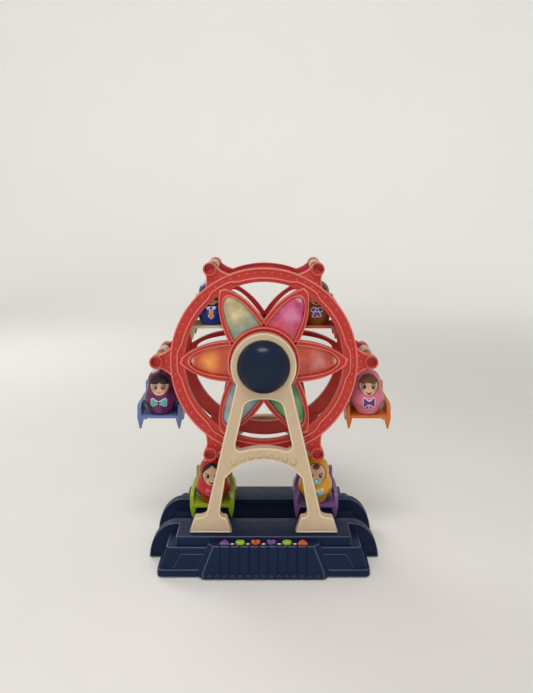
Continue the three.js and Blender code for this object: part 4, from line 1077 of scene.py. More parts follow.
# A fender rounds off each end of the base on both sides of the trough.
def fenderShapes():
    look = baseLook
    near, far = look["trough"], look["trough"] + look["fender"]
    sides = [(sign, side) for sign in (-1, 1) for side in (-1, 1)]
    sunk, rim = look["fenderSink"], look["fenderRim"]
    whole, cuts = [], []
    for sign, side in sides:
        whole.append(acrossY(fenderOutline(side, 0.0, look["bottom"]), sign * near, sign * far))
        outline = fenderOutline(side, rim, look["bottom"] + rim)
        for face in (near - look["cut"], far - sunk):
            cuts.append(acrossY(outline, sign * face, sign * (face + look["cut"] + sunk)))
    return whole, cuts


# The panel with the keys leans out from the shelf to an upright foot; its front corners are cut off.
def panelShape(inset, bottom):
    look = baseLook
    bevel, back = look["panelBevel"], look["panelLap"] + inset - look["deck"][1]
    levels = []
    for z, face, front in (
        (bottom, look["panelFootFace"], look["panelFoot"]),
        (look["panelRise"], look["panelFootFace"], look["panelFoot"]),
        (look["shelf"] - inset, look["panelTopFace"], look["shelfFront"]),
    ):
        near, side = inset - front, face + bevel - inset
        levels.append([
            (inset - face, near, z), (face - inset, near, z), (side, near + bevel, z), (side, back, z),
            (-side, back, z), (-side, near + bevel, z),
        ])
    return loft(levels)


# The deck lies in two halves, one on each side of the trough.
def deckShapes(inset, bottom):
    look = baseLook
    half, near, top = look["deck"][0] - inset, look["trough"] + inset, look["deckTop"] - inset
    edges = ((-1, look["deck"][1] - inset), (1, look["deck"][2] - inset))
    outlines = [rectangle((sign * near, sign * edge), (bottom, top)) for sign, edge in edges]
    return [alongX(outline, -half, half) for outline in outlines]


def apronShapes(inset, bottom, top):
    look = baseLook
    lip, tier = look["lipCorner"], look["tierCorner"]
    low = plan(look["apronFoot"], tier, look["lipTop"] - look["lap"], inset)
    return [
        loft([plan(look["lip"], lip, z, inset) for z in (bottom, look["lipTop"])]),
        loft([low, plan(look["tier"], tier, top, inset)]),
    ]


# Flat plates on the apron, in behind the panel at the front and from side to side at the rear.
def plateShape(side, sign):
    look = baseLook
    inner, edge = (look["plateInner"], 1) if sign < 0 else (look["trough"], 2)
    foot = look["lipTop"] - look["lap"]
    levels = []
    for z, outer in ((look["plateLow"], look["plateFoot"]), (look["plateHigh"], look["plateTop"])):
        climb = (z - foot) / (look["tierTop"] - foot)
        y = look["apronFoot"][edge] + (look["tier"][edge] - look["apronFoot"][edge]) * climb
        corners = rectangle((inner, outer), (y - look["lap"], y + look["plateProud"]))
        levels.append([(side * a, sign * b, z) for a, b in corners])
    return loft(levels)


# Half-round bumps stand in a row on the panel's foot.
def bumpShape(middle):
    look = baseLook
    outline = arc(middle, look["bumpHeight"], look["bumpRadius"], 0, 180, look["bumpSteps"])
    return acrossY(outline, -look["panelFoot"] - look["bumpProud"], look["lap"] - look["panelFoot"])


# A groove follows the panel's slope and runs out past the shelf.
def grooveShape(middle):
    look = baseLook
    half, past, out = look["grooveWidth"] / 2, look["cut"], look["lap"]
    floor = half * look["grooveFloor"]
    lean = (look["panelFoot"] - look["shelfFront"]) / (look["shelf"] - look["panelRise"])
    foot = (look["panelRise"], look["panelFoot"])
    top = (look["shelf"] + past, look["shelfFront"] - lean * past)
    return loft([
        [
            (middle - half, -front - out, z), (middle + half, -front - out, z),
            (middle + floor, look["grooveDepth"] - front, z), (middle - floor, look["grooveDepth"] - front, z),
        ]
        for z, front in (foot, top)
    ])


def keyOutline(kind):
    look = keyLook
    w, d = look["width"] / 2, look["depth"] / 2
    if kind == "round":
        return [(w * math.cos(a), d * math.sin(a)) for a in roundTurn(look["roundPoints"])]
    if kind == "triangle":
        bulge = (w * look["bulge"], d * look["bulge"])
        half = [(w, -d)] + curveThrough((w, -d), bulge, (0.0, d), look["sideSteps"])
        return anticlockwise(bothHalves(half))
    cheek, steps = d * look["cheek"], look["topSteps"]
    half = [(0.0, -d)] + curveThrough((0.0, -d), (w, -cheek), (w, cheek), look["cheekSteps"])
    half += curveThrough(half[-1], (w, d), (w / 2, d), steps)
    half += curveThrough(half[-1], (0.0, d), (0.0, d * look["dip"]), steps)
    return anticlockwise(bothHalves(half))


def keyPlaces():
    return list(zip(rowOf(keyLook["count"], keyLook["pitch"]), keyLook["kinds"], keyLook["tones"]))


def keyHole(x, kind):
    look = baseLook
    outline = [(x + a, keyLook["y"] + b) for a, b in offsetOutline(keyOutline(kind), -look["fit"])]
    return upAlongZ(outline, look["shelf"] - look["keyDepth"], look["shelf"] + look["lap"])


def showBase():
    look = baseLook
    bottom, wall, width = look["bottom"], look["wall"], look["round"]
    under = bottom - look["lap"]
    fenders, sunk = fenderShapes()
    rounded = apronShapes(0.0, bottom, look["tierTop"]) + deckShapes(0.0, bottom) + fenders
    outer = [tool(shape, width) for shape in rounded]
    outer.append(tool(panelShape(0.0, bottom), width, look["panelAngle"]))
    outer += [tool(plateShape(side, sign), look["plateRound"]) for side in (-1, 1) for sign in (-1, 1)]
    outer += [tool(bumpShape(x), look["bumpRound"]) for x in rowOf(look["bumps"], look["bumpPitch"])]
    cuts = [troughShape(0.0)] + sunk
    cuts += [grooveShape(x) for x in rowOf(look["grooves"], look["groovePitch"])]
    cuts += [keyHole(x, kind) for x, kind, _ in keyPlaces()]
    removed = [tool(shape) for shape in cuts]
    hollow = apronShapes(wall, under, look["tierTop"] - wall) + deckShapes(wall, under)
    hollow.append(panelShape(wall, under))
    skin = tool(troughShape(wall))
    inside = addObject("inside", combine([tool(shape) for shape in hollow], [skin], []))
    opening = tool(alongX(rectangle(*look["switchSlot"]), *look["switchEnds"]))
    # The base's rounded edges take the lighter navy, a painted highlight.
    mesh = combine(outer, [*removed, inside, opening], [navyPlastic, finish["navy_edge_painted_highlight_shown"]])
    piece = show(addObject("base_top_shell_shown", mesh), "base", "base_top_shell")


showBase()
print("base made")


# Keys and the small marks between them

def showKeys():
    look = keyLook
    shelf, middle = baseLook["shelf"], look["y"]
    top = shelf + look["proud"]
    flangeTop = shelf - baseLook["wall"] - baseLook["fit"]
    low = flangeTop - look["flange"]
    w, d = look["flangeWidth"] / 2, look["flangeDepth"] / 2
    for i, (x, kind, tone) in enumerate(keyPlaces()):
        name = "key_%d" % (i + 1)
        parts = Parts()
        cap = slab(keyOutline(kind), [], top - low, look["round"], look["roundSteps"])
        parts.addMesh(cap, Matrix.Translation((x, middle, (top + low) / 2)))
        parts.add(upAlongZ(rectangle((x - w, x + w), (middle - d, middle + d)), low, flangeTop))
        show(parts.build(name + "_shown", [finish[tone + "_key_shown"]], angle=50.0), name, name)
    dashes = Parts()
    radius, y = look["dashDepth"] / 2, middle - look["dashBack"]
    out, steps = look["dashWidth"] / 2 - radius, look["dashSteps"]
    for x in rowOf(look["count"] - 1, look["pitch"]):
        line = arc(x + out, y, radius, -90, 90, steps) + arc(x - out, y, radius, 90, 270, steps)
        dashes.add(upAlongZ(line, shelf - look["dashSink"], shelf + look["dashProud"]))
    show(dashes.build("key_row_dashes", [finish["key_mark_paint"]]), "base")


def showUnderside():
    dress("base", {"base_bottom_plate": navyPlastic, "battery_door": navyPlastic}, width=0.3)
    dress("switch", {"power_switch": blackPlastic}, width=0.3)
    dress("base", {
        "speaker": blackPlastic, "circuit_board": greenBoard, "key_membrane": finish["black_rubber_shown"],
        "battery_contact_left": steel, "battery_contact_middle": steel, "battery_contact_right": steel,
    }, width=0.3)
    dress("base", {name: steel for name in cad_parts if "screw" in name}, width=0.15, steps=2)
    jacket = finish["battery_jacket_shown"]
    dress("base", {"battery_%d" % (i + 1): jacket for i in range(3)}, width=0.4, steps=2)


showKeys()
showUnderside()
print("keys and underside made")


# Chairs and hangers

chairTones = {
    "chair_1": (204, 106, 30), "chair_2": (190, 72, 42), "chair_3": (206, 192, 158),
    "chair_4": (98, 114, 162), "chair_5": (158, 182, 38), "chair_6": (126, 88, 150),
}
# The legs thicken inwards towards the seat; heights and depths are from the pivot.
legLook = {
    "inner": 14.9, "outer": 15.5, "gusset": 1.9, "top": -48.6, "tip": -56.8, "bend": 0.6,
    "front": 12.9, "tipFront": 12.1, "back": 6.4, "tipBack": 10.7,
}


def pivotOf(angle):
    return rimLook["pivot"] * math.cos(angle), axleHeight + rimLook["pivot"] * math.sin(angle)


def legGussets(x, z):
    look = legLook
    parts = Parts()
    middle = (look["tip"] + look["top"]) / 2
    for side in (-1, 1):
        for end in (-1, 1):
            levels = []
            for share, height in ((0.0, look["tip"]), (look["bend"], middle), (1.0, look["top"])):
                inner = look["inner"] - look["gusset"] * share
                deep = look["tipBack"] + (look["back"] - look["tipBack"]) * share
                near = look["tipFront"] + (look["front"] - look["tipFront"]) * share
                corners = rectangle((inner, look["outer"]), (deep, near))
                levels.append([(x + side * a, end * b, z + height) for a, b in corners])
            parts.add(loft(levels))
    return parts


def showChairs():
    for i, angle in enumerate(cabinAngles()):
        name, body = "chair_%d" % (i + 1), "cabin_%d" % (i + 1)
        paint = plastic(name + "_plastic", chairTones[name], rough=0.36, coat=0.15, grain=0.2, cloud=0.06)
        parts = Parts()
        parts.addMesh(cadCopy(name, width=0.7, steps=3), Matrix.Scale(1 / unit, 4))
        parts.join(legGussets(*pivotOf(angle)))
        show(parts.build(name + "_shown", [paint], angle=40.0), body, name)
        dress(body, {"hanger_%d" % (i + 1): creamPlastic}, width=0.35, steps=2)


showChairs()
print("chairs made")


# Dolls

dollLook = {
    "height": 35.6, "belly": 14.0, "y": -3.3, "drop": 46.6, "segments": 64,
    # radius as a share of the belly, then height as a share of the doll's height
    "profile": [
        (0.0, 0.0), (0.5, 0.0), (0.61, 0.012), (0.685, 0.065), (0.84, 0.17), (0.96, 0.26), (0.995, 0.32),
        (0.985, 0.39), (0.94, 0.46), (0.88, 0.525), (0.83, 0.575), (0.8, 0.63), (0.805, 0.7), (0.77, 0.8),
        (0.67, 0.885), (0.48, 0.955), (0.25, 0.992), (0.0, 1.0),
    ],
    "slopeStep": 0.3, "turnedMost": 0.97, "paintSink": 0.35, "paintEdge": 0.35,
    "face": (7.8, 8.2), "faceUp": 0.7, "faceShares": (1.0, 0.95, 0.8, 0.6, 0.45, 0.3, 0.1), "faceProud": 0.16,
    "skin": (228, 180, 148), "cheek": (214, 112, 92), "cheekShare": 0.75,
    "cheekOut": 5.4, "cheekUp": -4.2, "cheekSize": 1.8, "mouthUp": -5.9, "badgeUp": -13.6,
    # the padded edge of the hood and the line inside it: how far out, how thick and which paint
    "rims": [(0.5, 0.5, "body"), (0.05, 0.32, "outline")], "rimPoints": 56, "rimProud": 0.1,
    # each layer of an eye: how far towards the nose and up, its shares of the eye's half width and half
    # height, how much wider, how far it stands out, and its paint
    "eyeLayers": [
        (0.0, 0.0, 1.0, 1.0, 0.22, 0.34, "dark"), (0.0, 0.0, 1.0, 1.0, 0.0, 0.42, "white"),
        (0.12, -0.05, 0.92, 0.94, 0.0, 0.5, "iris"), (0.12, -0.05, 0.62, 0.68, 0.0, 0.58, "dark"),
    ],
    # each glint: how far to the right and up, its half width and its half height
    "glints": [(-0.5, 0.8, 0.36, 0.42), (0.45, -1.0, 0.24, 0.26)], "glintProud": 0.66, "eyePoints": 20,
    # the lash's curve, in half widths out and half heights up from the eye's middle
    "lash": [(-1.0, 0.75), (0.4, 1.6), (1.55, 0.75)], "lashDepth": 0.5, "lashProud": 0.46, "lashSteps": 8,
    # half width, sag and depth of a mouth
    "lips": {"smile": (2.1, 1.1, 0.3), "open": (2.6, 0.8, 1.5)}, "lipEdge": 0.25, "lipProud": 0.36,
    "lipSteps": 7,
    # a dummy's parts: how far up, half width, half height, how far it stands out, how far its ends spread
    "dummy": [
        (0.9, 2.9, 1.5, 0.8, 0.3, "dummy"), (0.8, 1.0, 0.9, 1.4, 0.0, "edge"),
        (-0.9, 1.4, 1.0, 0.9, 0.0, "dummy"),
    ],
}
# The paints of a doll in the order of its material slots.
paintSlots = ["body", "skin", "white", "dark", "iris", "mouth", "badge", "edge", "hair", "dummy", "outline"]
# An eye is given as its place out and up from the face's middle and its half width and half height.
dollStyles = {
    "doll_1": {
        "body": (214, 120, 142), "hair": (112, 68, 26), "iris": (22, 26, 46), "hairCut": "fringe",
        "eye": (3.8, -1.3, 1.5, 2.05), "patch": "bow", "bow": (0.72, 1.15), "tails": True,
        "badge": (86, 48, 118), "edge": (236, 214, 224), "lips": "open",
    },
    "doll_2": {
        "body": (122, 70, 22), "hair": (60, 36, 20), "iris": (34, 26, 24), "hairCut": "short",
        "eye": (3.7, -1.2, 1.4, 1.9), "patch": "scarf",
        "badge": (84, 52, 130), "edge": (236, 230, 236), "lips": "open",
    },
    "doll_3": {
        "body": (30, 56, 136), "hair": (32, 28, 34), "iris": (30, 28, 36), "hairCut": "short",
        "eye": (3.7, -1.4, 1.4, 1.8), "patch": "tie", "glasses": True,
        "badge": (232, 140, 44), "edge": (244, 244, 240), "lips": "smile",
    },
    "doll_4": {
        "body": (98, 36, 88), "hair": (44, 20, 16), "iris": (84, 100, 112), "hairCut": "parted",
        "eye": (3.2, -2.0, 1.65, 1.85), "patch": "bow", "bow": (0.98, 1.0), "tails": False,
        "badge": (84, 168, 164), "edge": (196, 220, 226), "lips": "smile",
    },
    "doll_5": {
        "body": (184, 34, 24), "hair": (24, 20, 20), "iris": (24, 22, 26), "hairCut": "swept",
        "eye": (3.5, -1.4, 1.5, 1.9), "patch": "bow", "bow": (0.7, 0.75), "tails": True,
        "badge": (206, 60, 104), "edge": (226, 130, 150), "lips": "open",
    },
    "doll_6": {
        "body": (226, 160, 16), "hair": (92, 60, 34), "iris": (26, 20, 20), "hairCut": "curl",
        "eye": (3.6, -0.9, 1.3, 1.8), "patch": "bib",
        "badge": (160, 200, 220), "edge": (236, 240, 240), "lips": "dummy", "dummy": (112, 190, 184),
    },
}
hairLook = {
    "long": ("fringe", "parted"), "sideFrom": 0.62, "sideIn": 0.9, "sideDrop": 1.1, "past": (0.04, 0.16),
    "grow": 0.25, "proud": 0.7, "steps": 32, "thinnest": 0.5,
    # heights and waves of a fringe, a parting, hair swept aside and short hair
    "fringe": (1.3, 0.35, 26), "parted": (0.5, 2.0, 1.02, 14), "swept": (0.97, 6.6, 8.6, 1.1),
    "short": (0.96, 4.9, 2.6, 0.25, 30),
    "curl": {"place": (0.2, 5.9), "size": (2.8, 1.9), "turn": 0.15, "proud": 0.6},
}
# Places and half sizes of the patches' parts, from the patch's middle, and how far they stand out.
patchLook = {
    "edge": 0.45, "edgeProud": 0.3, "proud": 0.48, "points": 20,
    "bowTail": (1.4, -3.4), "bowTailSize": (0.8, 1.6), "bowTailTurn": 0.35, "bowTailEdge": 0.35,
    "wingOut": 3.3, "bowKnot": (0.9, 1.1), "bowKnotProud": 0.75,
    "collar": (2.2, 3.0), "collarProud": 0.5, "tieUp": -1.6,
    "scarfTail": (0.3, -1.6), "scarfLengths": {-1: 1.1, 1: 0.85},
    "scarfLoop": (2.5, 1.8), "scarfLoopSize": (2.1, 1.5), "scarfLoopTurn": -0.3,
    "scarfKnotUp": 1.6, "scarfKnot": [("edge", 0.62, 1.5, 1.7), ("badge", 0.76, 1.1, 1.3)],
    "bibUp": 0.6, "bibSpotUp": -0.6, "bibSpot": (1.1, 0.9), "bibSpotProud": 0.66,
}
glassesLook = {
    "size": (2.9, 2.7), "points": 32, "proud": 0.8, "wire": 0.5,
    "bridge": (-1.0, -0.4, 0.4, 1.0), "bridgeUp": 0.9, "bridgeProud": 0.95, "bridgeWire": 0.42,
}
# Outlines of the patches on the dolls' chests, each from its own middle.
badgeShapes = {
    "wing": [(-2.9, -0.8), (-0.7, -1.8), (1.6, -3.2), (2.8, -2.0), (2.7, 0.0), (2.8, 2.0), (1.6, 3.2),
             (-0.7, 1.8), (-2.9, 0.8)],
    "tie": [(0.9, 3.4), (1.0, 2.5), (1.9, -2.2), (0.0, -4.0), (-1.9, -2.2), (-1.0, 2.5), (-0.9, 3.4)],
    "collar": [(-2.2, 1.3), (0.6, 1.5), (2.3, 0.9), (0.2, -1.6)],
    "tail": [(-0.6, 2.2), (1.0, 2.2), (2.9, -1.9), (1.9, -1.7), (1.2, -2.7), (0.2, -2.0)],
    "bib": [(-5.2, 2.0), (-2.6, 1.1), (0.0, 0.8), (2.6, 1.1), (5.2, 2.0), (4.6, -1.6), (2.6, -3.6),
            (0.0, -4.2), (-2.6, -3.6), (-4.6, -1.6)],
}


def oval(halfWidth, halfHeight, steps=28, turn=0.0):
    flat = [(halfWidth * math.cos(a), halfHeight * math.sin(a)) for a in roundTurn(steps)]
    across, up = math.cos(turn), math.sin(turn)
    return [(u * across - w * up, u * up + w * across) for u, w in flat]


# Loops from an outline in towards its middle.
def loops(middle, outline, shares=(1.0, 0.9, 0.6, 0.3, 0.08)):
    return [[(middle[0] + u * s, middle[1] + w * s) for u, w in outline] for s in shares]


# The strip between an upper and a lower line, both running from left to right.
def strip(upper, lower, rows=4):
    return [[blend(a, b, i / rows) for a, b in zip(upper, lower)] for i in range(rows + 1)]


def faceEdge(turn, grow=0.0):
    halfWidth, halfHeight = dollLook["face"]
    return (halfWidth + grow) * math.cos(turn), (halfHeight + grow) * math.sin(turn)


# A doll is its turned body and the shapes painted on it, placed across and up from its face's middle.
class Doll:
    def __init__(self, style):
        look = dollLook
        self.style = style
        self.middle = look["faceUp"] * look["height"]
        profile = smoothCurve(look["profile"], 4)
        self.profile = [(max(0.0, r) * look["belly"], h * look["height"]) for r, h in profile]
        points, faces, marks = lathe(self.profile, look["segments"])
        self.parts = Parts(([(x, z, y) for x, y, z in points], faces, marks))

    def put(self, shape, paint):
        self.parts.add(shape, paintSlots.index(paint))

    def radius(self, height):
        for (r0, h0), (r1, h1) in zip(self.profile, self.profile[1:]):
            if h0 <= height <= h1 and h1 > h0:
                return r0 + (r1 - r0) * (height - h0) / (h1 - h0)
        return 0.5

    # A point of the doll's front, lifted off its surface.
    def point(self, u, w, raised):
        height, step, most = w + self.middle, dollLook["slopeStep"], dollLook["turnedMost"]
        radius = self.radius(height)
        slope = (self.radius(height + step) - self.radius(height - step)) / (2 * step)
        side = max(-most, min(most, u / radius))
        ahead = -math.sqrt(1 - side * side)
        normal = Vector((side, ahead, -slope)).normalized()
        return Vector((side * radius, ahead * radius, height)) + normal * raised

    # A grid of points in slight relief, closed round its sides and behind; its rows may be loops.
    def relief(self, grid, proud, looped):
        rows, columns = len(grid), len(grid[0])
        front, back = [], []
        for i, row in enumerate(grid):
            for k, (u, w) in enumerate(row):
                edge = i == 0 or (not looped and (i == rows - 1 or k in (0, columns - 1)))
                front.append(self.point(u, w, proud * (dollLook["paintEdge"] if edge else 1.0)))
                back.append(self.point(u, w, -dollLook["paintSink"]))
        half = len(front)
        faces = []
        for i in range(rows - 1):
            for k in range(columns if looped else columns - 1):
                a, b = i * columns + k, i * columns + (k + 1) % columns
                c, d = b + columns, a + columns
                faces.append([a, b, c, d])
                faces.append([half + d, half + c, half + b, half + a])
        border = list(range(columns))
        if looped:
            inner = [(rows - 1) * columns + k for k in border]
            faces += [inner, [half + k for k in inner][::-1]]
        else:
            border += [i * columns + columns - 1 for i in range(1, rows)]
            border += [(rows - 1) * columns + k for k in range(columns - 2, -1, -1)]
            border += [i * columns for i in range(rows - 2, 0, -1)]
        faces += [[b, a, half + a, half + b] for a, b in zip(border, border[1:] + border[:1])]
        return unmarked(front + back, faces)

    def paintSpot(self, paint, proud, middle, outline):
        self.put(self.relief(loops(middle, outline), proud, True), paint)

    def paintStrip(self, paint, proud, upper, lower, rows=4):
        self.put(self.relief(strip(upper, lower, rows), proud, False), paint)

    # A painted patch with a paler edge round it.
    def paintPatch(self, middle, outline, edge=patchLook["edge"]):
        outline = anticlockwise(outline)
        self.paintSpot("edge", patchLook["edgeProud"], middle, offsetOutline(outline, -edge))
        self.paintSpot("badge", patchLook["proud"], middle, outline)

    def addFace(self):
        look = dollLook
        outline = loops((0.0, 0.0), oval(*look["face"], 48), look["faceShares"])
        points, faces, _ = self.relief(outline, look["faceProud"], True)
        marks = []
        for x, _, z in points:
            up = z - self.middle - look["cheekUp"]
            away = min(math.hypot(x - side * look["cheekOut"], up) for side in (-1, 1))
            marks.append(look["cheekShare"] * math.exp(-(away / look["cheekSize"]) ** 2))
        self.put((points, faces, marks), "skin")
        for grow, radius, paint in look["rims"]:
            turns = roundTurn(look["rimPoints"])
            rim = [self.point(*faceEdge(turn, grow), look["rimProud"]) for turn in turns]
            self.put(bead(rim, radius, mark=0.0), paint)

    # Where the hair's lower edge lies, from the share along the face's edge and the point on that edge.
    def hairEdge(self, share, u, w):
        look, cut, side = hairLook, self.style["hairCut"], abs(2 * share - 1)
        if cut in look["long"] and side > look["sideFrom"]:
            return u * look["sideIn"], w - look["sideDrop"]
        if cut == "fringe":
            low, wave, waves = look[cut]
            return u, low + wave * math.cos(share * waves)
        if cut == "parted":
            low, peak, middle, sharp = look[cut]
            return u, low + peak * max(0.0, 1 - abs(2 * share - middle) * sharp)
        if cut == "swept":
            inward, top, drop, reach = look[cut]
            return u * inward, top - drop * min(1.0, side * reach)
        inward, top, drop, wave, waves = look[cut]
        return u * inward, top - drop * side ** 2 + wave * math.cos(share * waves)

    def addHair(self):
        look, cut, count = hairLook, self.style["hairCut"], hairLook["steps"]
        if cut == "curl":
            curl = look[cut]
            shape = oval(*curl["size"], turn=curl["turn"])
            self.paintSpot("hair", curl["proud"], curl["place"], shape)
            return
        past = look["past"][cut in look["long"]]
        upper, lower = [], []
        for i in range(count + 1):
            share = i / count
            u, w = faceEdge(math.pi * (1 + past - (1 + 2 * past) * share), look["grow"])
            across, low = self.hairEdge(share, u, w)
            upper.append((u, w))
            lower.append((across, min(low, w - look["thinnest"])))
        self.paintStrip("hair", look["proud"], upper, lower)

    # An eye from the outside in: dark outline, white, iris, pupil and two glints, with a lash above.
    def addEye(self, side):
        look = dollLook
        out, up, wide, tall = self.style["eye"]
        middle, count = side * out, look["eyePoints"]
        for inward, higher, across, high, wider, proud, paint in look["eyeLayers"]:
            shape = oval(wide * across + wider, tall * high + wider, count)
            self.paintSpot(paint, proud, (middle - side * inward, up + higher), shape)
        for right, higher, across, high in look["glints"]:
            spot = (middle + right, up + higher)
            self.paintSpot("white", look["glintProud"], spot, oval(across, high, count))
        lash = curveThrough(*[(out + wide * a, up + tall * b) for a, b in look["lash"]], look["lashSteps"])
        upper = [(side * u, w) for u, w in lash][::side]
        self.paintStrip("dark", look["lashProud"], upper, [(u, w - look["lashDepth"]) for u, w in upper], 2)

    def addMouth(self):
        look, kind, up = dollLook, self.style["lips"], dollLook["mouthUp"]
        if kind == "dummy":
            for higher, across, high, proud, flare, paint in look["dummy"]:
                shape = [(u * (1.0 + flare * abs(u) / across), w) for u, w in oval(across, high)]
                self.paintSpot(paint, proud, (0.0, up + higher), shape)
            return
        reach, sag, thick = look["lips"][kind]
        steps = look["lipSteps"]
        shares = [i / steps - 1 for i in range(2 * steps + 1)]
        upper = [(reach * share, up + sag * share ** 2) for share in shares]
        lower = [(u, w - thick * (1 - (u / reach) ** 2) - look["lipEdge"]) for u, w in upper]
        self.paintStrip("mouth", look["lipProud"], upper, lower, 2)

    def addBow(self, middle):
        look = patchLook
        across, up = self.style["bow"]
        out, drop = look["bowTail"]
        for side in (-1, 1):
            if self.style["tails"]:
                tail = oval(*look["bowTailSize"], look["points"], side * look["bowTailTurn"])
                self.paintPatch((side * out, middle + drop * up), tail, look["bowTailEdge"])
            wing = [(side * u * across, w * up) for u, w in closedCurve(badgeShapes["wing"])]
            self.paintPatch((side * look["wingOut"] * across, middle), wing)
        self.paintSpot("mouth", look["bowKnotProud"], (0.0, middle), oval(*look["bowKnot"]))

    def addTie(self, middle):
        out, up = patchLook["collar"]
        for side in (-1, 1):
            collar = anticlockwise([(side * u, w) for u, w in badgeShapes["collar"]])
            self.paintSpot("edge", patchLook["collarProud"], (side * out, middle + up), collar)
        self.paintPatch((0.0, middle + patchLook["tieUp"]), badgeShapes["tie"])

    def addScarf(self, middle):
        look = patchLook
        (out, up), (loopOut, loopUp) = look["scarfTail"], look["scarfLoop"]
        for side, length in look["scarfLengths"].items():
            tail = closedCurve([(side * u, w * length) for u, w in badgeShapes["tail"]])
            self.paintPatch((side * out, middle + up), tail)
            loop = oval(*look["scarfLoopSize"], look["points"], side * look["scarfLoopTurn"])
            self.paintPatch((side * loopOut, middle + loopUp), loop)
        for paint, proud, across, high in look["scarfKnot"]:
            self.paintSpot(paint, proud, (0.0, middle + look["scarfKnotUp"]), oval(across, high))

    def addBib(self, middle):
        look = patchLook
        self.paintPatch((0.0, middle + look["bibUp"]), closedCurve(badgeShapes["bib"]))
        spot = (0.0, middle + look["bibSpotUp"])
        self.paintSpot("mouth", look["bibSpotProud"], spot, oval(*look["bibSpot"]))

    def addBadge(self):
        makers = {"bow": self.addBow, "tie": self.addTie, "scarf": self.addScarf, "bib": self.addBib}
        makers[self.style["patch"]](dollLook["badgeUp"])

    def addGlasses(self):
        look = glassesLook
        out, up = self.style["eye"][:2]
        for side in (-1, 1):
            outline = oval(*look["size"], look["points"])
            loop = [self.point(side * out + u, up + w, look["proud"]) for u, w in outline]
            self.put(bead(loop, look["wire"]), "dark")
        bridge = [self.point(u, up + look["bridgeUp"], look["bridgeProud"]) for u in look["bridge"]]
        self.put(bead(bridge, look["bridgeWire"], closed=False), "dark")

    def make(self):
        self.addFace()
        self.addHair()
        for side in (-1, 1):
            self.addEye(side)
        self.addMouth()
        self.addBadge()
        if "glasses" in self.style:
            self.addGlasses()
        return self.parts


def showDolls():
    look = dollLook
    skinTones = shades(look["skin"], 0.96, 1.03)
    shared = {
        "skin": surface("doll_skin_paint", "skin", skinTones, rough=0.3, edge=look["cheek"]),
        "white": lacquer("eye_white_paint", (240, 240, 238)),
        "dark": lacquer("lash_paint", (26, 20, 22), rough=0.3),
        "outline": lacquer("outline_paint", (62, 34, 28), rough=0.4),
    }
    rough = {"hair": 0.45}
    named = {"body": "paint", "iris": "eye_paint"}
    for i, angle in enumerate(cabinAngles()):
        name = "doll_%d" % (i + 1)
        style = dollStyles[name]
        tones = {"mouth": (112, 30, 26), "dummy": style["badge"], **style}
        coats = dict(shared)
        for slot in paintSlots:
            if slot not in shared:
                label = name + "_" + named.get(slot, slot + "_paint")
                coats[slot] = lacquer(label, tones[slot], rough.get(slot, 0.22))
        x, z = pivotOf(angle)
        parts = Doll(style).make().turned(Matrix.Translation((x, look["y"], z - look["drop"])))
        piece = parts.build(name + "_shown", [coats[slot] for slot in paintSlots], angle=50.0)
        show(piece, "cabin_%d" % (i + 1), name)


showDolls()
print("dolls made")


# Studio

studio = {
    "eye": (0.00543, -0.5326, 0.2792), "tiltDown": 1.987, "lens": 33.77, "shiftX": -0.0061, "shiftY": -0.17,
    "sensor": 36.0, "world": 0.32, "worldSeen": 0.74,
    "floor": (250, 248, 244), "floorReach": 4.5, "floorBack": 1.1, "floorBend": 0.5, "floorTop": 3.5,
    "bendSteps": 16,
    # the far floor and the backdrop are as pale as the floor by the toy, where they are seen
    "farStart": 0.35, "farEnd": 1.7, "farGlow": 0.36,
    # place, size, power and colour of each lamp, all aimed at the wheel, and whether it is mirrored
    "lamps": {
        "key": ((-0.06, -0.55, 1.05), (0.55, 0.3), 4.2, (1.0, 0.97, 0.93), True),
        "fill": ((0.35, -1.0, 0.72), (1.2, 0.9), 1.8, (0.94, 0.97, 1.0), False),
        "front": ((-0.3, -1.2, 0.36), (0.9, 0.5), 2.2, (0.97, 0.98, 1.0), False),
        "rim": ((-0.6, 0.7, 0.7), (0.5, 0.5), 2.8, (1.0, 1.0, 1.0), True),
    },
    "aim": (0.0, 0.0, 0.13),
}


def combined(tree, operation, first, second):
    node = addNode(tree, "ShaderNodeMath", {0: first, 1: second}, operation=operation, use_clamp=True)
    return node.outputs["Value"]


# One for the rays that show a background, nought for those that light the toy.
def seenRays(tree):
    rays = addNode(tree, "ShaderNodeLightPath").outputs
    mirrored = combined(tree, "ADD", rays["Is Glossy Ray"], rays["Is Transmission Ray"])
    return combined(tree, "ADD", rays["Is Camera Ray"], mirrored)


def studioWorld():
    world = bpy.data.worlds.new("studio")
    world.use_nodes = True
    tree = world.node_tree
    strength = addNode(tree, "ShaderNodeMapRange", {
        "Value": seenRays(tree), "To Min": studio["world"], "To Max": studio["worldSeen"],
    })
    setInputs(tree, tree.nodes["Background"], {
        "Color": colour(*studio["floor"]), "Strength": strength.outputs["Result"],
    })
    return world


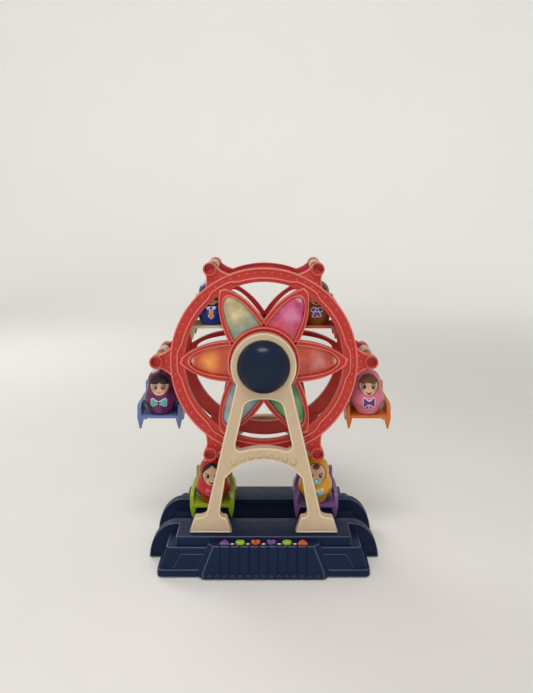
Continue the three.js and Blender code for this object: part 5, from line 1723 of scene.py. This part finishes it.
def floorMaterial():
    material, tree, shader = newMaterial("studio_floor")
    away = addNode(tree, "ShaderNodeVectorMath", {0: place(tree, 1.0)}, operation="LENGTH")
    far = addNode(tree, "ShaderNodeMapRange", {
        "Value": away.outputs["Value"], "From Min": studio["farStart"], "From Max": studio["farEnd"],
        "To Max": studio["farGlow"],
    }, interpolation_type="SMOOTHSTEP")
    setInputs(tree, shader, {
        "Base Color": mixed(tree, spread(tree, (9.0, 3.0)), *shades(studio["floor"], 0.985, 1.01)),
        "Roughness": 0.85, "Emission Color": colour(*studio["floor"]),
        "Emission Strength": combined(tree, "MULTIPLY", seenRays(tree), far.outputs["Result"]),
    })
    return material


# The floor bends up into a backdrop.
def showFloor():
    reach, back, bend, steps = (studio[name] for name in ("floorReach", "floorBack", "floorBend", "bendSteps"))
    turns = [math.pi / 2 * i / steps for i in range(steps + 1)]
    rows = [(-reach, 0.0)] + [(back + bend * math.sin(a), bend * (1 - math.cos(a))) for a in turns]
    rows.append((back + bend, studio["floorTop"]))
    points = [(x, y, z) for y, z in rows for x in (-reach, reach)]
    mesh = bpy.data.meshes.new("studio_floor")
    mesh.from_pydata(points, [], [(2 * i, 2 * i + 1, 2 * i + 3, 2 * i + 2) for i in range(len(rows) - 1)])
    smoothByAngle(mesh, 60.0)
    addObject("studio_floor", mesh, [floorMaterial()])


def buildStudio():
    showFloor()
    for name, (spot, size, power, tone, mirrored) in studio["lamps"].items():
        lamp = bpy.data.lights.new(name + "_softbox", "AREA")
        lamp.shape = "ELLIPSE"
        lamp.size, lamp.size_y = size
        lamp.energy = power
        lamp.color = tone
        holder = addObject(name + "_softbox", lamp)
        holder.location = spot
        holder.visible_glossy = mirrored
        holder.rotation_euler = (Vector(studio["aim"]) - Vector(spot)).to_track_quat("-Z", "Y").to_euler()
    scene.world = studioWorld()
    scene.view_settings.view_transform = "Standard"
    lens = bpy.data.cameras.new("camera")
    lens.sensor_width = studio["sensor"]
    lens.lens = studio["lens"]
    lens.shift_x = studio["shiftX"]
    lens.shift_y = studio["shiftY"]
    eye = addObject("camera", lens)
    eye.location = studio["eye"]
    eye.rotation_euler = (math.radians(90 - studio["tiltDown"]), 0.0, 0.0)
    scene.camera = eye


buildStudio()
print("studio made")
